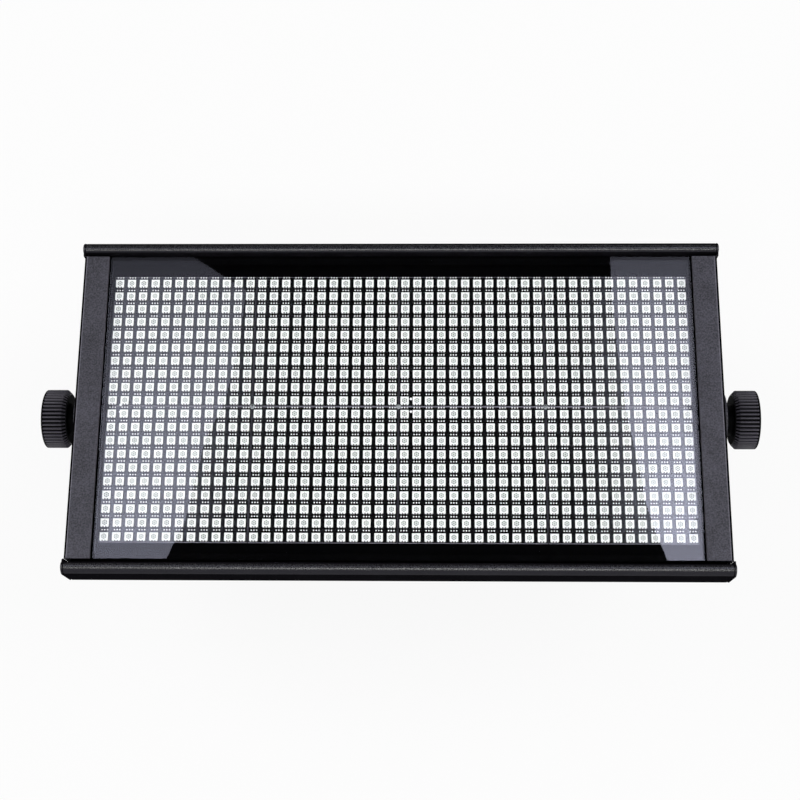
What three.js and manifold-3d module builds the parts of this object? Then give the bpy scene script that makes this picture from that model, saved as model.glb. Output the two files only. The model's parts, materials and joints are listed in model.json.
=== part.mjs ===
// Flat LED panel strobe on a U-shaped yoke, lying on the yoke with its light facing up.
// X runs along the width, Y towards the top bar and Z along the beam. The floor is z = 0.
import * as THREE from 'three';
import { mergeVertices } from 'three/addons/utils/BufferGeometryUtils.js';
import Module from 'manifold-3d';

const wasm = await Module();
wasm.setup();

// Driving dimensions, in millimetres

// Clearances
const fit = 0.3;
const overrun = 2;

// Light array: pitches of the lamps, and the boards that carry them
const lampColumnPitch = 6.9;
const lampRowPitch = 7.82;
const boardColumnCount = 12;
const boardRowCount = 10;
const boardsAcrossCount = 4;
const boardsDownCount = 2;
const lampSize = 5;
const lampHeight = 1.6;
const boardThickness = 1.6;
const largeNotchRadius = 5.7;
const smallNotchRadius = 3.1;
const largeNotchInset = 9.3;
const sideNotchDrop = 11.5;

// Head outline, seen from the front
const sideMargin = 2.9;
const endMargin = 11.7;
const flangeWidth = 14;
const barHeight = 6.6;
const flangeEndGap = 1.7;
const glassEdgeGap = 1.4;

// Head depths, measured along the beam from the tops of the lamps
const glassLevel = 6;
const flangeLevel = 7;
const noseLevel = 9;
const noseDepth = 4.5;
const barDepth = 23;
const headDepth = 75;
const pivotDrop = 27.6;

// Sheets and walls
const sideSheet = 1.5;
const coverSheet = 1.2;
const barWall = 1.6;
const barLipDepth = 2.2;
const ledgeReach = 7.5;
const carrierThickness = 2;
const glassThickness = 4;
const sealWidth = 4;
const capThickness = 1.2;
const capProud = 0.8;
const capOverhang = 0.4;

// Rear cover, a folded tray that narrows towards the back
const coverFlangeInset = 1.3;
const coverFrontInset = 8.5;
const coverRearInset = 16.5;
const ventLength = 32;
const ventWidth = 3.2;
const ventPitch = 8;
const ventRowCount = 3;
const ventColumnPitch = 44;
const ventColumnCount = 7;

// Heat sink
const sinkSideRoom = 22.2;
const sinkEndRoom = 14.8;
const sinkBase = 3;
const finPitch = 9.5;
const finThickness = 1.8;
const finDepth = 14;

// Fans
const fanSize = 80;
const fanDepth = 25;
const fanWall = 2;
const fanSideRoom = 12;
const fanEndRoom = 10.8;
const fanHubRadius = 17;
const fanStrutWidth = 3;
const fanStrutDepth = 2.4;
const rotorHubRadius = 18;
const bladeCount = 7;
const bladeThickness = 1.8;
const bladeWidth = 17;
const bladePitchDegrees = 38;
const bladeTipGap = 1.5;
const rotorPinRadius = 1.6;
const rotorEndGap = 1.4;
const guardWire = 2;
const guardRingCount = 3;
const guardLugInset = 4.25;
const guardLugRadius = 4.2;

// Power supply and the boards behind the heat sink
const supplyWidth = 150;
const supplyFanRoom = 8;
const supplyEndRoom = 4.8;
const supplyFinRoom = 7.7;
const terminalDepth = 15;
const terminalLength = 16;
const driverWidth = 100;
const driverHeight = 74;
const driverPostHeight = 6;
const electronicsPostRadius = 3;
const electronicsPostInset = 6;
const capacitorRadius = 8;
const capacitorRoom = 8.4;
const capacitorPitch = 22;
const capacitorCount = 4;
const coilSize = 20;
const coilHeight = 12;

// Control panel
const panelWidth = 84;
const panelHeight = 54;
const panelThickness = 1.5;
const panelCornerRadius = 4;
const panelLip = 4;
const windowWidth = 46;
const windowHeight = 18;
const windowThickness = 2;
const windowRise = 11;
const buttonCount = 4;
const buttonPitch = 17;
const buttonDrop = 14;
const buttonRadius = 4;
const buttonProud = 2.2;
const buttonTravel = 0.6;
const buttonLength = 7;
const buttonCollar = 1;
const switchSize = 6;
const switchHeight = 3.4;

// Sockets
const socketScrewRoom = 3.9;
const dataSupplyRoom = 18;
const dataGap = 16;
const dataFlangeWidth = 26;
const dataFlangeHeight = 31;
const socketFlangeThickness = 2;
const dataBarrelRadius = 11;
const dataWall = 1.6;
const dataCupDepth = 15;
const dataBarrelDepth = 22;
const dataPinRadius = 1.2;
const dataPinCircle = 4.4;
const dataPinCount = 3;
const dataKeyGroove = 1;
const latchWidth = 7;
const latchHeight = 3.4;
const latchLength = 9;
const latchProud = 1.8;
const mainsSupplyRoom = 8.75;
const mainsGap = 6;
const mainsFlangeWidth = 44;
const mainsFlangeHeight = 26;
const mainsBodyWidth = 28.5;
const mainsBodyHeight = 21;
const mainsBodyDepth = 24;
const mainsWall = 2;
const mainsCavityDepth = 17;
const mainsCornerCut = 4;
const mainsBlockMargin = 1.9;
const bladeHalfWidth = 2;
const bladeHalfThickness = 1;
const bladeSpread = 7;
const bladeRise = 2;
const bladeLength = 13;

// Fuse holder
const fuseFanRoom = 8.5;
const fuseDrop = 6;
const fuseFlangeWidth = 1.5;
const fuseFlangeThickness = 2;
const fuseWall = 1.2;
const fuseBodyDepth = 26;
const fuseCapRadius = 6;
const fuseCapProud = 5;
const fuseCapDepth = 12;
const fuseSlotWidth = 1.4;
const fuseSlotDepth = 1.6;

// Safety eye
const eyeBaseWidth = 30;
const eyeBaseHeight = 11;
const eyeBaseThickness = 2;
const eyeInset = 11;
const eyeHoleRadius = 6;
const eyeWall = 4;
const eyeThickness = 4;

// Cover screws
const screwInsetX = 10;
const screwInsetY = 9;
const screwHeadRadius = 3.6;
const screwHeadHeight = 2.2;
const screwShankRadius = 2;
const screwLength = 7;
const screwSlotWidth = 1;
const screwSlotDepth = 1.1;
const tabMargin = 6;
const tabHeight = 14;

// Yoke, pivots and clamp knobs
const swingRoom = 15.5;
const yokeSheet = 3;
const yokeWidth = 50;
const yokeEndRadius = 16;
const yokeBendRadius = 7;
const yokeShoulder = 45;
const yokeCentreHoleRadius = 6.25;
const yokeSideHoleRadius = 5.25;
const yokeSideHoleOffset = 60;
const frictionWasherThickness = 1.2;
const frictionWasherRadius = 14;
const studRadius = 4;
const studInKnob = 12;
const nutFlatRadius = 7.5;
const nutThickness = 6.5;
const nutSideCount = 6;
const knobRadius = 17;
const knobRibDepth = 0.8;
const knobRibCount = 46;
const knobWidth = 18.3;
const knobRibbedWidth = 10.9;
const knobCollarWidth = 3;
const knobCollarRadius = 16;
const knobHubRadius = 9;
const knobDishRadius = 11;
const knobDishDepth = 1.2;

// Facet counts for round pieces
const arcFacetCount = 6;
const holeFacetCount = 12;
const discFacetCount = 20;
const boreFacetCount = 28;
const guardFacetCount = 16;

// Worked out from the sizes above

const boardWidth = boardColumnCount * lampColumnPitch;
const boardHeight = boardRowCount * lampRowPitch;
const arrayHalfWidth = boardsAcrossCount * boardWidth / 2;
const arrayHalfHeight = boardsDownCount * boardHeight / 2;
const openingHalfWidth = arrayHalfWidth + sideMargin;
const headHalfWidth = openingHalfWidth + flangeWidth;
const barInner = arrayHalfHeight + endMargin;
const headHalfHeight = barInner + barHeight;
const sideHalfHeight = barInner - flangeEndGap;

// Levels in the head's own frame, whose origin is the middle of the pivot line
const lampLevel = pivotDrop;
const boardFront = lampLevel - lampHeight;
const boardRear = boardFront - boardThickness;
const carrierFront = boardRear - fit;
const carrierRear = carrierFront - carrierThickness;
const glassFront = lampLevel + glassLevel;
const glassRear = glassFront - glassThickness;
const flangeFront = lampLevel + flangeLevel;
const noseTip = lampLevel + noseLevel;
const noseBase = noseTip - noseDepth;
const barRear = noseTip - barDepth;
const ledgeFront = carrierRear - fit;
const coverFront = barRear - fit;
const coverRear = noseTip - headDepth;
const coverFrontHalf = headHalfHeight - coverFrontInset;
const coverRearHalf = headHalfHeight - coverRearInset;
const coverInside = coverRear + coverSheet;
const innerHalfWidth = headHalfWidth - sideSheet - fit;
const barHalfLength = headHalfWidth + capProud - capThickness - fit;
const sinkFront = carrierRear - fit;
const finTip = sinkFront - sinkBase - finDepth;
const sinkHalfWidth = innerHalfWidth - nutThickness - sinkSideRoom;
const sinkHalfHeight = coverFrontHalf - coverSheet - sinkEndRoom;
const insideRearHalf = coverRearHalf - coverSheet;
const pivotHeight = headHalfHeight + yokeSheet + swingRoom;

// Places on the back: the control panel in the middle, a fan on each side, the supply below them
const fanOffset = panelWidth / 2 + panelLip + fanSideRoom + fanSize / 2;
const fanRise = insideRearHalf - fanEndRoom - fanSize / 2;
const fanBoreRadius = fanSize / 2 - fanWall;
const supplyHeight = 2 * insideRearHalf - supplyEndRoom - supplyFanRoom - fanSize - fanEndRoom;
const supplyDrop = insideRearHalf - supplyEndRoom - supplyHeight / 2;
const supplyDepth = finTip - supplyFinRoom - coverInside - fit;
const screwX = innerHalfWidth - screwInsetX;
const screwY = coverRearHalf - screwInsetY;
const socketDrop = screwY - screwHeadRadius - socketScrewRoom - dataFlangeHeight / 2;
const dataInOffset = supplyWidth / 2 + dataSupplyRoom + dataBarrelRadius;
const dataOutOffset = dataInOffset + dataFlangeWidth + dataGap;
const mainsOutOffset = supplyWidth / 2 + mainsSupplyRoom + mainsBodyWidth / 2;
const mainsInOffset = mainsOutOffset + mainsFlangeWidth + mainsGap;
const fuseBodyRadius = fuseCapRadius + fit + fuseWall;
const fuseOffset = fanOffset + fanSize / 2 + fuseFanRoom + fuseBodyRadius;

// Places across the yoke joint, from the side plate outwards
const washerInner = headHalfWidth + fit;
const armInner = washerInner + frictionWasherThickness + fit;
const armOuter = armInner + yokeSheet;
const knobInner = armOuter + fit;

// Finishes: colour, roughness and metalness
const finishes = {
  blackAnodised: [0x1b1a1d, 0.42, 0.6],
  blackPowderCoat: [0x2a282c, 0.7, 0.1],
  blackPlastic: [0x17161a, 0.6, 0],
  greyPlastic: [0x3a3a3e, 0.55, 0],
  clearGlass: [0x20242a, 0.05, 0],
  blackRubber: [0x0f0f10, 0.9, 0],
  blackBoard: [0x0c0d10, 0.5, 0],
  greenBoard: [0x123d24, 0.5, 0],
  aluminium: [0xb4b6b8, 0.4, 0.9],
  steel: [0x9a9c9f, 0.35, 0.9],
  display: [0x0b1622, 0.1, 0],
  nylon: [0xd9d6cc, 0.6, 0],
};

// A closed geometry becomes a solid that can be cut and joined
function solidOf(geometry) {
  const bare = geometry.clone();
  bare.deleteAttribute('normal');
  bare.deleteAttribute('uv');
  const merged = mergeVertices(bare);
  const vertProperties = new Float32Array(merged.attributes.position.array);
  const triVerts = new Uint32Array(merged.index.array);
  return new wasm.Manifold(new wasm.Mesh({ numProp: 3, vertProperties, triVerts }));
}

function geometryOf(solid) {
  const { vertProperties, triVerts } = solid.getMesh();
  const geometry = new THREE.BufferGeometry();
  geometry.setAttribute('position', new THREE.BufferAttribute(vertProperties, 3));
  geometry.setIndex(new THREE.BufferAttribute(triVerts, 1));
  geometry.computeVertexNormals();
  return geometry;
}

function piece(name, shape, finish, x = 0, y = 0, z = 0) {
  const [color, roughness, metalness] = finishes[finish];
  const geometry = shape.isBufferGeometry ? shape : geometryOf(shape);
  const material = new THREE.MeshStandardMaterial({ color, roughness, metalness });
  const mesh = new THREE.Mesh(geometry, material);
  mesh.name = name;
  mesh.position.set(x, y, z);
  return mesh;
}

// A box between two corners
function block(x0, x1, y0, y1, z0, z1) {
  const geometry = new THREE.BoxGeometry(x1 - x0, y1 - y0, z1 - z0);
  geometry.translate((x0 + x1) / 2, (y0 + y1) / 2, (z0 + z1) / 2);
  return solidOf(geometry);
}

function outline(points) {
  return new THREE.Shape(points.map(([a, b]) => new THREE.Vector2(a, b)));
}

function rectangle(halfWidth, halfHeight, x = 0, y = 0) {
  const corners = [[-1, -1], [1, -1], [1, 1], [-1, 1]];
  return outline(corners.map(([a, b]) => [x + a * halfWidth, y + b * halfHeight]));
}

function roundedRectangle(halfWidth, halfHeight, radius) {
  const shape = new THREE.Shape();
  const x = halfWidth - radius;
  const y = halfHeight - radius;
  shape.absarc(x, y, radius, 0, Math.PI / 2);
  shape.absarc(-x, y, radius, Math.PI / 2, Math.PI);
  shape.absarc(-x, -y, radius, Math.PI, 3 * Math.PI / 2);
  shape.absarc(x, -y, radius, 3 * Math.PI / 2, 2 * Math.PI);
  return shape;
}

// A rectangle with its two upper corners cut off, as on a mains socket
function clippedRectangle(halfWidth, halfHeight, cut) {
  return outline([
    [-halfWidth, -halfHeight],
    [halfWidth, -halfHeight],
    [halfWidth, halfHeight - cut],
    [halfWidth - cut, halfHeight],
    [cut - halfWidth, halfHeight],
    [-halfWidth, halfHeight - cut],
  ]);
}

// Directions that a drawn outline takes: its own right, up and depth
const alongX = new THREE.Matrix4().makeBasis(
  new THREE.Vector3(0, 1, 0), new THREE.Vector3(0, 0, 1), new THREE.Vector3(1, 0, 0));
const alongY = new THREE.Matrix4().makeBasis(
  new THREE.Vector3(0, 0, 1), new THREE.Vector3(1, 0, 0), new THREE.Vector3(0, 1, 0));
const alongZ = new THREE.Matrix4();

function prism(shape, direction, start, end, curveSegments = arcFacetCount) {
  const geometry = new THREE.ExtrudeGeometry(shape, {
    depth: end - start, bevelEnabled: false, steps: 1, curveSegments,
  });
  geometry.translate(0, 0, start);
  geometry.applyMatrix4(direction);
  return solidOf(geometry);
}

// A round bar along Z
function rod(radius, z0, z1, facetCount = holeFacetCount, x = 0, y = 0) {
  const geometry = new THREE.CylinderGeometry(radius, radius, z1 - z0, facetCount);
  geometry.rotateX(Math.PI / 2);
  geometry.translate(x, y, (z0 + z1) / 2);
  return solidOf(geometry);
}

// A round bar along X
function crossRod(radius, x0, x1, facetCount = holeFacetCount) {
  const geometry = new THREE.CylinderGeometry(radius, radius, x1 - x0, facetCount);
  geometry.rotateZ(-Math.PI / 2);
  geometry.translate((x0 + x1) / 2, 0, 0);
  return solidOf(geometry);
}

// A flat ring round Z, of rectangular section
function ring(innerRadius, outerRadius, z0, z1, facetCount) {
  const disc = rod(outerRadius, z0, z1, facetCount);
  return disc.subtract(rod(innerRadius, z0 - overrun, z1 + overrun, facetCount));
}

function joined(solids) {
  return solids.reduce((whole, part) => whole.add(part));
}

// The front bars: an extrusion with a rounded nose, a lip, a ledge and a rear ledge

function noseArc(side, extra) {
  const points = [];
  const middle = barInner + barHeight / 2;
  for (let step = 0; step <= arcFacetCount; step += 1) {
    const angle = Math.PI * step / arcFacetCount;
    const reach = barHeight / 2 + extra;
    const y = middle + reach * Math.cos(angle);
    const z = noseBase + (noseDepth + extra) * Math.sin(angle);
    points.push([side * y, z]);
  }
  return points;
}

function frontBar(name, side) {
  const wall = headHalfHeight - barWall;
  const lipRear = noseBase - barLipDepth;
  const points = [
    [side * headHalfHeight, barRear],
    ...noseArc(side, 0),
    [side * barInner, lipRear],
    [side * wall, lipRear],
    [side * wall, ledgeFront],
    [side * (headHalfHeight - ledgeReach), ledgeFront],
    [side * (headHalfHeight - ledgeReach), ledgeFront - barWall],
    [side * wall, ledgeFront - barWall],
    [side * wall, barRear + barWall],
    [side * (headHalfHeight - ledgeReach), barRear + barWall],
    [side * (headHalfHeight - ledgeReach), barRear],
  ];
  return piece(name, prism(outline(points), alongX, -barHalfLength, barHalfLength), 'blackAnodised');
}

function endCap(name, side, end) {
  const points = [
    [side * (headHalfHeight + capOverhang), barRear],
    ...noseArc(side, capOverhang),
    [side * (barInner - capOverhang), barRear],
  ];
  const faces = [end * (barHalfLength + fit), end * (barHalfLength + fit + capThickness)];
  const cap = prism(outline(points), alongX, Math.min(...faces), Math.max(...faces));
  return piece(name, cap, 'blackAnodised');
}

// The side plates: a wall, a front flange and two tabs for the cover screws

function sidePlate(name, side) {
  const wallOutline = outline([
    [sideHalfHeight, flangeFront],
    [-sideHalfHeight, flangeFront],
    [-sideHalfHeight, barRear],
    [-coverRearHalf, coverRear],
    [coverRearHalf, coverRear],
    [sideHalfHeight, barRear],
  ]);
  const wall = prism(wallOutline, alongX, headHalfWidth - sideSheet, headHalfWidth);
  const flange = block(openingHalfWidth, headHalfWidth, -sideHalfHeight, sideHalfHeight,
    flangeFront - sideSheet, flangeFront);
  const tabRear = coverInside + fit;
  const tabWidth = screwInsetX + tabMargin;
  const tabs = [-1, 1].map((end) => block(headHalfWidth - tabWidth, headHalfWidth,
    end * screwY - tabHeight / 2, end * screwY + tabHeight / 2, tabRear, tabRear + sideSheet));
  const holes = [-1, 1].map((end) => rod(screwShankRadius + fit, tabRear - overrun,
    tabRear + sideSheet + overrun, holeFacetCount, screwX, end * screwY));
  const studHole = crossRod(studRadius + fit, innerHalfWidth - overrun, headHalfWidth + overrun);
  const plate = joined([wall, flange, ...tabs]).subtract(joined([studHole, ...holes]));
  return piece(name, side > 0 ? plate : plate.mirror([1, 0, 0]), 'blackPowderCoat');
}

// The front glass on its seal, and the plate that carries the lamp boards

const glassHalfWidth = openingHalfWidth - glassEdgeGap;
const glassHalfHeight = barInner - glassEdgeGap;

function frontGlass() {
  const pane = block(-glassHalfWidth, glassHalfWidth, -glassHalfHeight, glassHalfHeight,
    glassRear, glassFront);
  return piece('front_glass', pane, 'clearGlass');
}

function glassSeal() {
  const outer = rectangle(glassHalfWidth, glassHalfHeight);
  outer.holes.push(rectangle(arrayHalfWidth + fit, glassHalfHeight - sealWidth));
  return piece('glass_seal', prism(outer, alongZ, carrierFront + fit, glassRear - fit), 'blackRubber');
}

function carrierPlate() {
  const halfHeight = headHalfHeight - barWall - fit;
  const plate = block(-innerHalfWidth, innerHalfWidth, -halfHeight, halfHeight,
    carrierRear, carrierFront);
  return piece('carrier_plate', plate, 'blackAnodised');
}

// A lamp board: each row of lamps stands as one raised strip, and outer boards have notches

function boardNotches(across, down) {
  const edge = (across < 0 ? -1 : 1) * boardWidth / 2;
  const upper = down > 0;
  const farEnd = (upper ? 1 : -1) * (boardHeight / 2 - largeNotchInset);
  const seamEnd = (upper ? -1 : 1) * boardHeight / 2;
  const notches = [[farEnd, largeNotchRadius], [seamEnd, smallNotchRadius]];
  if (!upper) {
    notches.push([boardHeight / 2 - sideNotchDrop, smallNotchRadius]);
  }
  return notches.map(([y, radius]) => rod(radius, -boardThickness - overrun, lampHeight + overrun,
    holeFacetCount, edge, y));
}

function lampBoard(name, column, row) {
  const x = (column + 1 / 2) * boardWidth - arrayHalfWidth;
  const y = arrayHalfHeight - (row + 1 / 2) * boardHeight;
  const halfWidth = (boardWidth - fit) / 2;
  const halfHeight = (boardHeight - fit) / 2;
  const plate = block(-halfWidth, halfWidth, -halfHeight, halfHeight, -boardThickness, 0);
  const reach = (boardColumnCount - 1) * lampColumnPitch / 2 + lampSize / 2;
  const strips = [];
  for (let index = 0; index < boardRowCount; index += 1) {
    const middle = ((boardRowCount - 1) / 2 - index) * lampRowPitch;
    strips.push(block(-reach, reach, middle - lampSize / 2, middle + lampSize / 2,
      -boardThickness / 2, lampHeight));
  }
  let board = joined([plate, ...strips]);
  const outer = column === 0 || column === boardsAcrossCount - 1;
  if (outer) {
    board = board.subtract(joined(boardNotches(x, y)));
  }
  return piece(name, board, 'blackBoard', x, y, boardFront);
}

function lampBoards() {
  const boards = [];
  for (let row = 0; row < boardsDownCount; row += 1) {
    for (let column = 0; column < boardsAcrossCount; column += 1) {
      const number = row * boardsAcrossCount + column + 1;
      boards.push(lampBoard(`lamp_board_${number}`, column, row));
    }
  }
  return boards;
}

// The heat sink behind the carrier plate: a comb drawn once and extruded

function heatSink() {
  const finCount = Math.floor((2 * sinkHalfWidth - finThickness) / finPitch) + 1;
  const baseRear = sinkFront - sinkBase;
  const firstFin = -(finCount - 1) * finPitch / 2;
  const comb = [[sinkFront, sinkHalfWidth], [sinkFront, -sinkHalfWidth], [baseRear, -sinkHalfWidth]];
  for (let index = 0; index < finCount; index += 1) {
    const x = firstFin + index * finPitch;
    comb.push([baseRear, x - finThickness / 2]);
    comb.push([finTip, x - finThickness / 2]);
    comb.push([finTip, x + finThickness / 2]);
    comb.push([baseRear, x + finThickness / 2]);
  }
  comb.push([baseRear, sinkHalfWidth]);
  return piece('heat_sink', prism(outline(comb), alongY, -sinkHalfHeight, sinkHalfHeight), 'aluminium');
}

// The rear cover with its vents and the openings for what sits in it

function rearCover() {
  const rim = headHalfHeight - coverFlangeInset;
  const flangeRear = coverFront - coverSheet;
  const outside = [
    [rim, coverFront],
    [rim, flangeRear],
    [coverFrontHalf, flangeRear],
    [coverRearHalf, coverRear],
  ];
  const inside = [
    [coverRearHalf - coverSheet, coverInside],
    [coverFrontHalf - coverSheet, coverFront],
  ];
  const across = (points) => points.map(([y, z]) => [-y, z]).reverse();
  const section = outline([...outside, ...across(outside), ...across(inside), ...inside]);
  const tray = prism(section, alongX, -innerHalfWidth, innerHalfWidth);
  return piece('rear_cover', tray.subtract(joined(coverOpenings())), 'blackPowderCoat');
}

function coverOpenings() {
  const below = coverRear - overrun;
  const above = coverInside + overrun;
  const through = (shape, x, y) => prism(shape, alongZ, below, above).translate([x, y, 0]);
  const cuts = [-1, 1].map((side) => rod(fanBoreRadius, below, above, boreFacetCount,
    side * fanOffset, fanRise));
  const panelHole = rectangle(panelWidth / 2 - panelLip, panelHeight / 2 - panelLip);
  cuts.push(through(panelHole, 0, fanRise));
  for (const offset of [dataInOffset, dataOutOffset]) {
    cuts.push(rod(dataBarrelRadius + fit, below, above, discFacetCount, offset, -socketDrop));
  }
  for (const offset of [mainsInOffset, mainsOutOffset]) {
    const hole = rectangle(mainsBodyWidth / 2 + fit, mainsBodyHeight / 2 + fit);
    cuts.push(through(hole, -offset, -socketDrop));
  }
  cuts.push(rod(fuseBodyRadius + fit, below, above, holeFacetCount, -fuseOffset, -fuseDrop));
  for (const [side, end] of [[-1, -1], [-1, 1], [1, -1], [1, 1]]) {
    cuts.push(rod(screwShankRadius + fit, below, above, holeFacetCount, side * screwX, end * screwY));
  }
  cuts.push(...sideVents());
  return cuts;
}

// Rows of slots through the upper and lower slopes of the cover
function sideVents() {
  const slots = [];
  const middle = (coverFront + coverRear) / 2;
  for (let column = 0; column < ventColumnCount; column += 1) {
    const x = (column - (ventColumnCount - 1) / 2) * ventColumnPitch;
    for (let row = 0; row < ventRowCount; row += 1) {
      const z = middle + (row - (ventRowCount - 1) / 2) * ventPitch;
      slots.push(block(x - ventLength / 2, x + ventLength / 2,
        -coverFrontHalf - overrun, overrun - coverRearHalf, z - ventWidth / 2, z + ventWidth / 2));
      slots.push(block(x - ventLength / 2, x + ventLength / 2,
        coverRearHalf - overrun, coverFrontHalf + overrun, z - ventWidth / 2, z + ventWidth / 2));
    }
  }
  return slots;
}

// A cooling fan: a square frame with a hub on struts, a bladed rotor and a wire guard

function fanFrame(name, x) {
  const rear = coverInside + fit;
  const front = rear + fanDepth;
  const half = fanSize / 2;
  const shell = block(-half, half, -half, half, rear, front);
  const bore = rod(fanBoreRadius, rear - overrun, front + overrun, boreFacetCount);
  const hub = rod(fanHubRadius, front - fanStrutDepth, front, discFacetCount);
  const strutReach = (half + fanBoreRadius) / 2;
  const strut = block(-strutReach, strutReach, -fanStrutWidth / 2, fanStrutWidth / 2,
    front - fanStrutDepth, front);
  const struts = strut.add(strut.rotate([0, 0, 90]));
  const pinHole = rod(rotorPinRadius + fit, front - fanStrutDepth - overrun, front + overrun);
  const frame = shell.subtract(bore).add(hub).add(struts).subtract(pinHole);
  return piece(name, frame, 'blackPlastic', x, fanRise);
}

// The rotor stands on its own origin, the end that faces the back of the head
function fanRotor(name, x) {
  const length = fanDepth - fanStrutDepth - 2 * rotorEndGap;
  const bladeReach = fanBoreRadius - bladeTipGap;
  const parts = [rod(rotorHubRadius, 0, length, discFacetCount)];
  parts.push(rod(rotorPinRadius, 0, length + rotorEndGap + fanStrutDepth));
  for (let index = 0; index < bladeCount; index += 1) {
    const blade = block(rotorHubRadius - overrun, bladeReach, -bladeThickness / 2, bladeThickness / 2,
      -bladeWidth / 2, bladeWidth / 2);
    const turned = blade.rotate([bladePitchDegrees, 0, 0]).translate([0, 0, length / 2]);
    parts.push(turned.rotate([0, 0, 360 * index / bladeCount]));
  }
  const reach = rod(bladeReach, 0, length + rotorEndGap + fanStrutDepth, boreFacetCount);
  const rotor = joined(parts).intersect(reach);
  return piece(name, rotor, 'blackPlastic', x, fanRise, coverInside + fit + rotorEndGap);
}

function fanGuard(name, x) {
  const front = coverRear - fit;
  const rear = front - guardWire;
  const lug = fanSize / 2 - guardLugInset;
  const parts = [];
  for (let index = 1; index <= guardRingCount; index += 1) {
    const radius = fanBoreRadius * index / guardRingCount;
    parts.push(ring(radius - guardWire / 2, radius + guardWire / 2, rear, front, guardFacetCount));
  }
  const spoke = block(-lug * Math.SQRT2, lug * Math.SQRT2, -guardWire / 2, guardWire / 2, rear, front);
  parts.push(spoke.rotate([0, 0, 45]), spoke.rotate([0, 0, -45]));
  for (const [a, b] of [[-1, -1], [-1, 1], [1, -1], [1, 1]]) {
    parts.push(rod(guardLugRadius, rear, front, holeFacetCount, a * lug, b * lug));
  }
  return piece(name, joined(parts), 'steel', x, fanRise);
}

// The power supply: a closed case with a step for its terminals

function powerSupply() {
  const rear = coverInside + fit;
  const front = rear + supplyDepth;
  const halfWidth = supplyWidth / 2;
  const halfHeight = supplyHeight / 2;
  const box = block(-halfWidth, halfWidth, -halfHeight, halfHeight, rear, front);
  const step = block(halfWidth - terminalLength, halfWidth + overrun, -halfHeight - overrun,
    halfHeight + overrun, front - terminalDepth, front + overrun);
  return piece('power_supply', box.subtract(step), 'aluminium', 0, -supplyDrop);
}

// A bare board on four posts, which stand on the level given first

function boardOnPosts(width, height, seat, postHeight, direction) {
  const face = seat + direction * postHeight;
  const far = face + direction * boardThickness;
  const levels = (a, b) => [Math.min(a, b), Math.max(a, b)];
  const parts = [block(-width / 2, width / 2, -height / 2, height / 2, ...levels(face, far))];
  for (const [a, b] of [[-1, -1], [-1, 1], [1, -1], [1, 1]]) {
    parts.push(rod(electronicsPostRadius, ...levels(seat, far), holeFacetCount,
      a * (width / 2 - electronicsPostInset), b * (height / 2 - electronicsPostInset)));
  }
  return { parts, far };
}

function driverBoard() {
  const { parts, far } = boardOnPosts(driverWidth, driverHeight, finTip - fit, driverPostHeight, -1);
  const capacitorEnd = controlBoardFront + boardThickness + capacitorRoom;
  for (let index = 0; index < capacitorCount; index += 1) {
    const x = (index - (capacitorCount - 1) / 2) * capacitorPitch;
    parts.push(rod(capacitorRadius, capacitorEnd, far + boardThickness / 2, holeFacetCount,
      x, driverHeight / 2 - capacitorPitch));
    parts.push(block(x - coilSize / 2 + fit, x + coilSize / 2 - fit, -coilSize, 0,
      far - coilHeight, far + boardThickness / 2));
  }
  return piece('driver_board', joined(parts), 'greenBoard', 0, fanRise);
}

// The control panel on the back, its window, its buttons and the board behind them

const panelRear = coverRear - fit - panelThickness;
const buttonX = (index) => (index - (buttonCount - 1) / 2) * buttonPitch;
const buttonInner = panelRear - buttonProud + buttonLength;
const switchTop = buttonInner + buttonTravel + fit;
const controlBoardFront = switchTop + switchHeight;

function controlPanel() {
  const shape = roundedRectangle(panelWidth / 2, panelHeight / 2, panelCornerRadius);
  shape.holes.push(rectangle(windowWidth / 2 + fit, windowHeight / 2 + fit, 0, windowRise));
  const plate = prism(shape, alongZ, panelRear, coverRear - fit);
  const holes = [];
  for (let index = 0; index < buttonCount; index += 1) {
    holes.push(rod(buttonRadius + fit, panelRear - overrun, coverRear + overrun, holeFacetCount,
      buttonX(index), -buttonDrop));
  }
  return piece('control_panel', plate.subtract(joined(holes)), 'blackPlastic', 0, fanRise);
}

function displayWindow() {
  const pane = block(-windowWidth / 2, windowWidth / 2, -windowHeight / 2, windowHeight / 2,
    panelRear, panelRear + windowThickness);
  return piece('display_window', pane, 'display', 0, fanRise + windowRise);
}

function controlButton(name, index) {
  const stem = rod(buttonRadius, 0, buttonLength);
  const collar = rod(buttonRadius + buttonCollar, buttonLength - buttonCollar, buttonLength);
  return piece(name, stem.add(collar), 'greyPlastic', buttonX(index), fanRise - buttonDrop,
    panelRear - buttonProud);
}

function controlBoard() {
  const seat = coverInside + fit;
  const postHeight = controlBoardFront - seat;
  const width = panelWidth + 2 * panelLip;
  const height = panelHeight + 2 * panelLip;
  const { parts } = boardOnPosts(width, height, seat, postHeight, 1);
  for (let index = 0; index < buttonCount; index += 1) {
    const x = buttonX(index);
    parts.push(block(x - switchSize / 2, x + switchSize / 2, -buttonDrop - switchSize / 2,
      -buttonDrop + switchSize / 2, switchTop, controlBoardFront + boardThickness / 2));
  }
  parts.push(block(-windowWidth / 2, windowWidth / 2, windowRise - windowHeight / 2,
    windowRise + windowHeight / 2, panelRear + windowThickness + fit, controlBoardFront));
  return piece('control_board', joined(parts), 'greenBoard', 0, fanRise);
}

// Three-pin data sockets: the inlet holds pins in a cup, the outlet has holes and a latch

const flangeRearLevel = coverRear - fit - socketFlangeThickness;
const dataCupRadius = dataBarrelRadius - dataWall;

function dataPinPlaces() {
  const places = [];
  for (let index = 0; index < dataPinCount; index += 1) {
    const angle = Math.PI / 4 + index * Math.PI / 2 - Math.PI / 2;
    places.push([dataPinCircle * Math.cos(angle), dataPinCircle * Math.sin(angle)]);
  }
  return places;
}

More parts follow.
